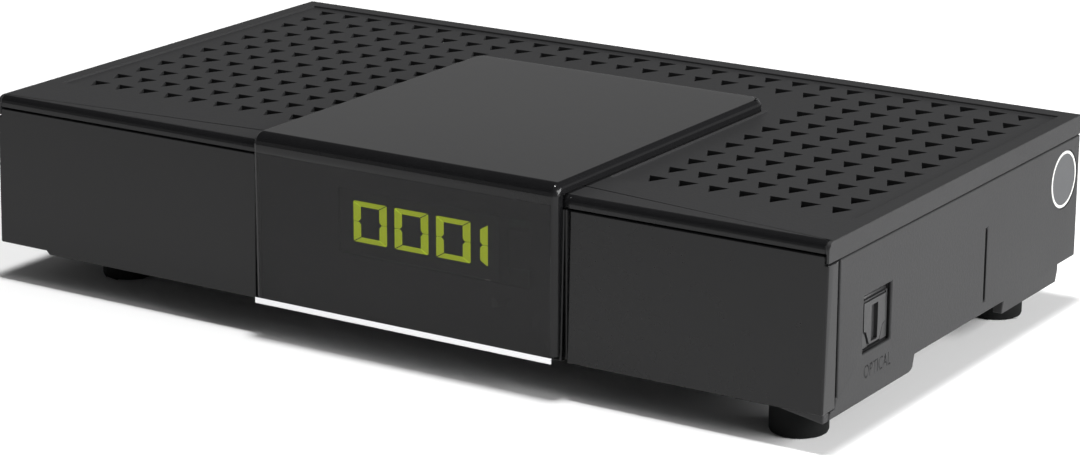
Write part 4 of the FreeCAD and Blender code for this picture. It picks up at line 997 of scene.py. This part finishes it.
@dataclass
class Display:
    """Lit figures behind the lens: three noughts and a one, with mitred segments."""

    shown: tuple[Stroke, ...] = (Stroke.RING, Stroke.RING, Stroke.RING, Stroke.UPRIGHT)
    left: float = -4.73 * MM
    low: float = 20.08 * MM
    width: float = 6.65 * MM
    height: float = 7.02 * MM
    pitch: float = 8.37 * MM
    stroke: float = 1.36 * MM
    bar: float = 0.8 * MM
    slit: float = 0.16 * MM
    notch: float = 0.5 * MM
    notch_inset: float = 1.15
    upright_inset: float = 0.33 * MM
    thickness: float = 0.25 * MM
    front: float = 0.0

    def blade(self, x: float, z: float, length: float, angle: float) -> bpy.types.Object:
        """Make a thin upright blade that parts two segments.

        Args:
            x: Middle of the blade, to the side.
            z: Middle of the blade, upwards.
            length: How far it reaches.
            angle: Turn about the depth axis, in radians.

        Returns:
            The blade.
        """
        half = Vector((length / 2, 2 * self.thickness, self.slit / 2))
        blade = block("blade", -half, half)
        blade.rotation_euler = (0, angle, 0)
        blade.location = (x, self.front + self.thickness / 2, z)
        return bake_place(blade)

    def figure(self, index: int, stroke: Stroke) -> bpy.types.Object:
        """Build one figure from a ring that blades part into segments.

        Args:
            index: Place from the left.
            stroke: Which figure it is.

        Returns:
            The lit segments of the figure.
        """
        left = self.left + index * self.pitch
        right = left + self.width
        top = self.low + self.height
        middle = (self.low + top) / 2
        ring = block("figure", Vector((left, self.front, self.low)),
                     Vector((right, self.front + self.thickness, top)))
        near = self.front - self.thickness
        far = self.front + 2 * self.thickness
        hollow = block("hollow", Vector((left + self.stroke, near, self.low + self.bar)),
                       Vector((right - self.stroke, far, top - self.bar)))
        combine(ring, hollow, Fit.CUT)
        slope = math.atan2(self.bar, self.stroke)
        for x, inwards in ((left, 1), (right, -1)):
            for z, upwards in ((self.low, 1), (top, -1)):
                turn = -inwards * upwards * slope
                corner_x = x + inwards * self.stroke / 2
                corner_z = z + upwards * self.bar / 2
                combine(ring, self.blade(corner_x, corner_z, 2 * self.stroke, turn), Fit.CUT)
            combine(ring, self.blade(x + inwards * self.stroke / 2, middle, 2 * self.stroke, 0), Fit.CUT)
            half = Vector((self.notch, 2 * self.thickness, self.notch))
            wedge = block("wedge", -half, half)
            wedge.rotation_euler = (0, math.pi / 4, 0)
            wedge.location = (x + inwards * self.stroke * self.notch_inset, self.front, middle)
            combine(ring, bake_place(wedge), Fit.CUT)
        if stroke is Stroke.UPRIGHT:
            keep = right - self.stroke - self.slit
            rest = block("rest", Vector((left - self.stroke, near, self.low - self.bar)),
                         Vector((keep, far, top + self.bar)))
            combine(ring, rest, Fit.CUT)
            ring = self.tallest_parts(ring)
            ring.location.x = left + self.upright_inset - (right - self.stroke)
            bake_place(ring)
        return ring

    def tallest_parts(self, ring: bpy.types.Object) -> bpy.types.Object:
        """Keep the upright segments of a figure and drop the ends of its level bars.

        Args:
            ring: The figure.

        Returns:
            Its upright segments.
        """
        parts = loose_parts(ring)
        parts.sort(key=lambda part: part.dimensions.z, reverse=True)
        for part in parts[2:]:
            bpy.data.objects.remove(part)
        return merged("figure", parts[:2])

    def build(self) -> None:
        """Build the figures just in front of the display's housing."""
        low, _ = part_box("display_segments")
        self.front = low.y
        figures = [self.figure(index, stroke) for index, stroke in enumerate(self.shown)]
        dress(merged("lit_figures", figures), FINISHES["lit_green"],
              stands_for=("display_segments",))


@dataclass(frozen=True)
class SoftBox:
    """One rectangular lamp: where it hangs, what it faces, its size and its power."""

    name: str
    place: tuple[float, float, float]
    aim: tuple[float, float, float]
    size: tuple[float, float]
    watts: float

    def hang(self) -> None:
        """Hang the lamp."""
        data = bpy.data.lights.new(self.name, "AREA")
        data.shape = "RECTANGLE"
        data.size, data.size_y = self.size
        data.energy = self.watts
        lamp = bpy.data.objects.new(self.name, data)
        place = Vector(self.place)
        turn = (place - Vector(self.aim)).to_track_quat("Z", "Y").to_matrix().to_4x4()
        lamp.matrix_world = Matrix.Translation(place) @ turn
        bpy.context.scene.collection.objects.link(lamp)


@dataclass
class Studio:
    """Floor, lamps, world and camera."""

    lens_mm: float = 107.63
    sensor_mm: float = 36.0
    azimuth: float = math.radians(32.87)
    elevation: float = math.radians(16.43)
    roll: float = math.radians(0.09)
    distance: float = 580.3 * MM
    aside: float = 1.2 * MM
    raised: float = 6.6 * MM
    casing_shift: float = 4.2 * MM
    skirt_lift: float = 4.5 * MM
    fill: float = 0.1
    low_mirrored: float = 0.34
    high_mirrored: float = 0.04
    dark_from: float = 0.3
    dark_by: float = 0.5
    floor_size: float = 12.0
    paper: str = "#f4f4f4"
    lamps: tuple[SoftBox, ...] = (
        SoftBox("top_box", (0.02, -0.02, 1.3), (0, 0, 0), (0.12, 0.12), 14.5),
        SoftBox("right_box", (1.2, 0.15, 0.5), (0, 0, 0.02), (1.0, 0.7), 27),
    )

    def camera(self) -> None:
        """Place the camera where the photograph was taken from."""
        back = Vector((math.sin(self.azimuth) * math.cos(self.elevation),
                       -math.cos(self.azimuth) * math.cos(self.elevation), math.sin(self.elevation)))
        right = Vector((math.cos(self.azimuth), math.sin(self.azimuth), 0))
        up = back.cross(right)
        eye = back * self.distance + right * self.aside + up * self.raised
        eye += Vector((0, -self.casing_shift, self.skirt_lift))
        turned_right = right * math.cos(self.roll) + up * math.sin(self.roll)
        turned_up = up * math.cos(self.roll) - right * math.sin(self.roll)
        data = bpy.data.cameras.new("camera")
        data.lens = self.lens_mm
        data.sensor_width = self.sensor_mm
        data.sensor_fit = "HORIZONTAL"
        data.clip_start = 0.01
        camera = bpy.data.objects.new("camera", data)
        pose = Matrix((turned_right, turned_up, back)).transposed().to_4x4()
        camera.matrix_world = Matrix.Translation(eye) @ pose
        bpy.context.scene.collection.objects.link(camera)
        bpy.context.scene.camera = camera

    def floor(self) -> None:
        """Lay the white floor."""
        deselect()
        bpy.ops.mesh.primitive_plane_add(size=self.floor_size, location=(0, 0, 0))
        floor = bpy.context.active_object
        floor.name = "floor"
        material = empty_material("white_paper")
        tree = material.node_tree
        paper = add_node(tree, "ShaderNodeBsdfDiffuse", {"Color": linear(self.paper)})
        add_node(tree, "ShaderNodeOutputMaterial", {}, {"Surface": paper.outputs["BSDF"]})
        floor.data.materials.append(material)

    def world(self) -> None:
        """Surround the object with white that mirrors bright low down and dark high up."""
        world = bpy.data.worlds.new("studio")
        world.use_nodes = True
        sky = world.node_tree
        sky.nodes.clear()
        ray = add_node(sky, "ShaderNodeLightPath")
        way = add_node(sky, "ShaderNodeTexCoord")
        parts = add_node(sky, "ShaderNodeSeparateXYZ", {}, {"Vector": way.outputs["Generated"]})
        height = add_node(sky, "ShaderNodeMapRange",
                          {"interpolation_type": "SMOOTHSTEP", "From Min": self.dark_from,
                           "From Max": self.dark_by, "To Min": self.low_mirrored,
                           "To Max": self.high_mirrored},
                          {"Value": parts.outputs["Z"]})
        fill = add_node(sky, "ShaderNodeBackground", {"Color": WHITE, "Strength": self.fill})
        mirrored = add_node(sky, "ShaderNodeBackground", {"Color": WHITE},
                            {"Strength": height.outputs["Result"]})
        backdrop = add_node(sky, "ShaderNodeBackground", {"Color": WHITE, "Strength": 1.0})
        tent = add_node(sky, "ShaderNodeMixShader", {},
                        {0: ray.outputs["Is Glossy Ray"], 1: fill.outputs["Background"],
                         2: mirrored.outputs["Background"]})
        seen = add_node(sky, "ShaderNodeMixShader", {},
                        {0: ray.outputs["Is Camera Ray"], 1: tent.outputs["Shader"],
                         2: backdrop.outputs["Background"]})
        add_node(sky, "ShaderNodeOutputWorld", {}, {"Surface": seen.outputs["Shader"]})
        bpy.context.scene.world = world

    def build(self) -> None:
        """Lay the floor, light the object and place the camera."""
        self.floor()
        self.world()
        for lamp in self.lamps:
            lamp.hang()
        self.camera()
        bpy.context.scene.view_settings.view_transform = "Standard"


def dress_frame() -> None:
    """Give every solid of the frame that stays in view its proper finish."""
    slots = {entry["node"]: entry["material_slot"] for entry in frame["record"]["subparts"]}
    for node, piece in frame["nodes"].items():
        piece.data.materials.clear()
        piece.data.materials.append(finish_of(FINISHES[slots[node]]))


def main() -> None:
    """Build the receiver and its studio."""
    logging.basicConfig(level=logging.INFO)
    dress_frame()
    for part in (Casing(), Band(), Display(), OpticalSocket(), RearSockets()):
        part.build()
    Studio().build()


if __name__ == "__main__":
    main()
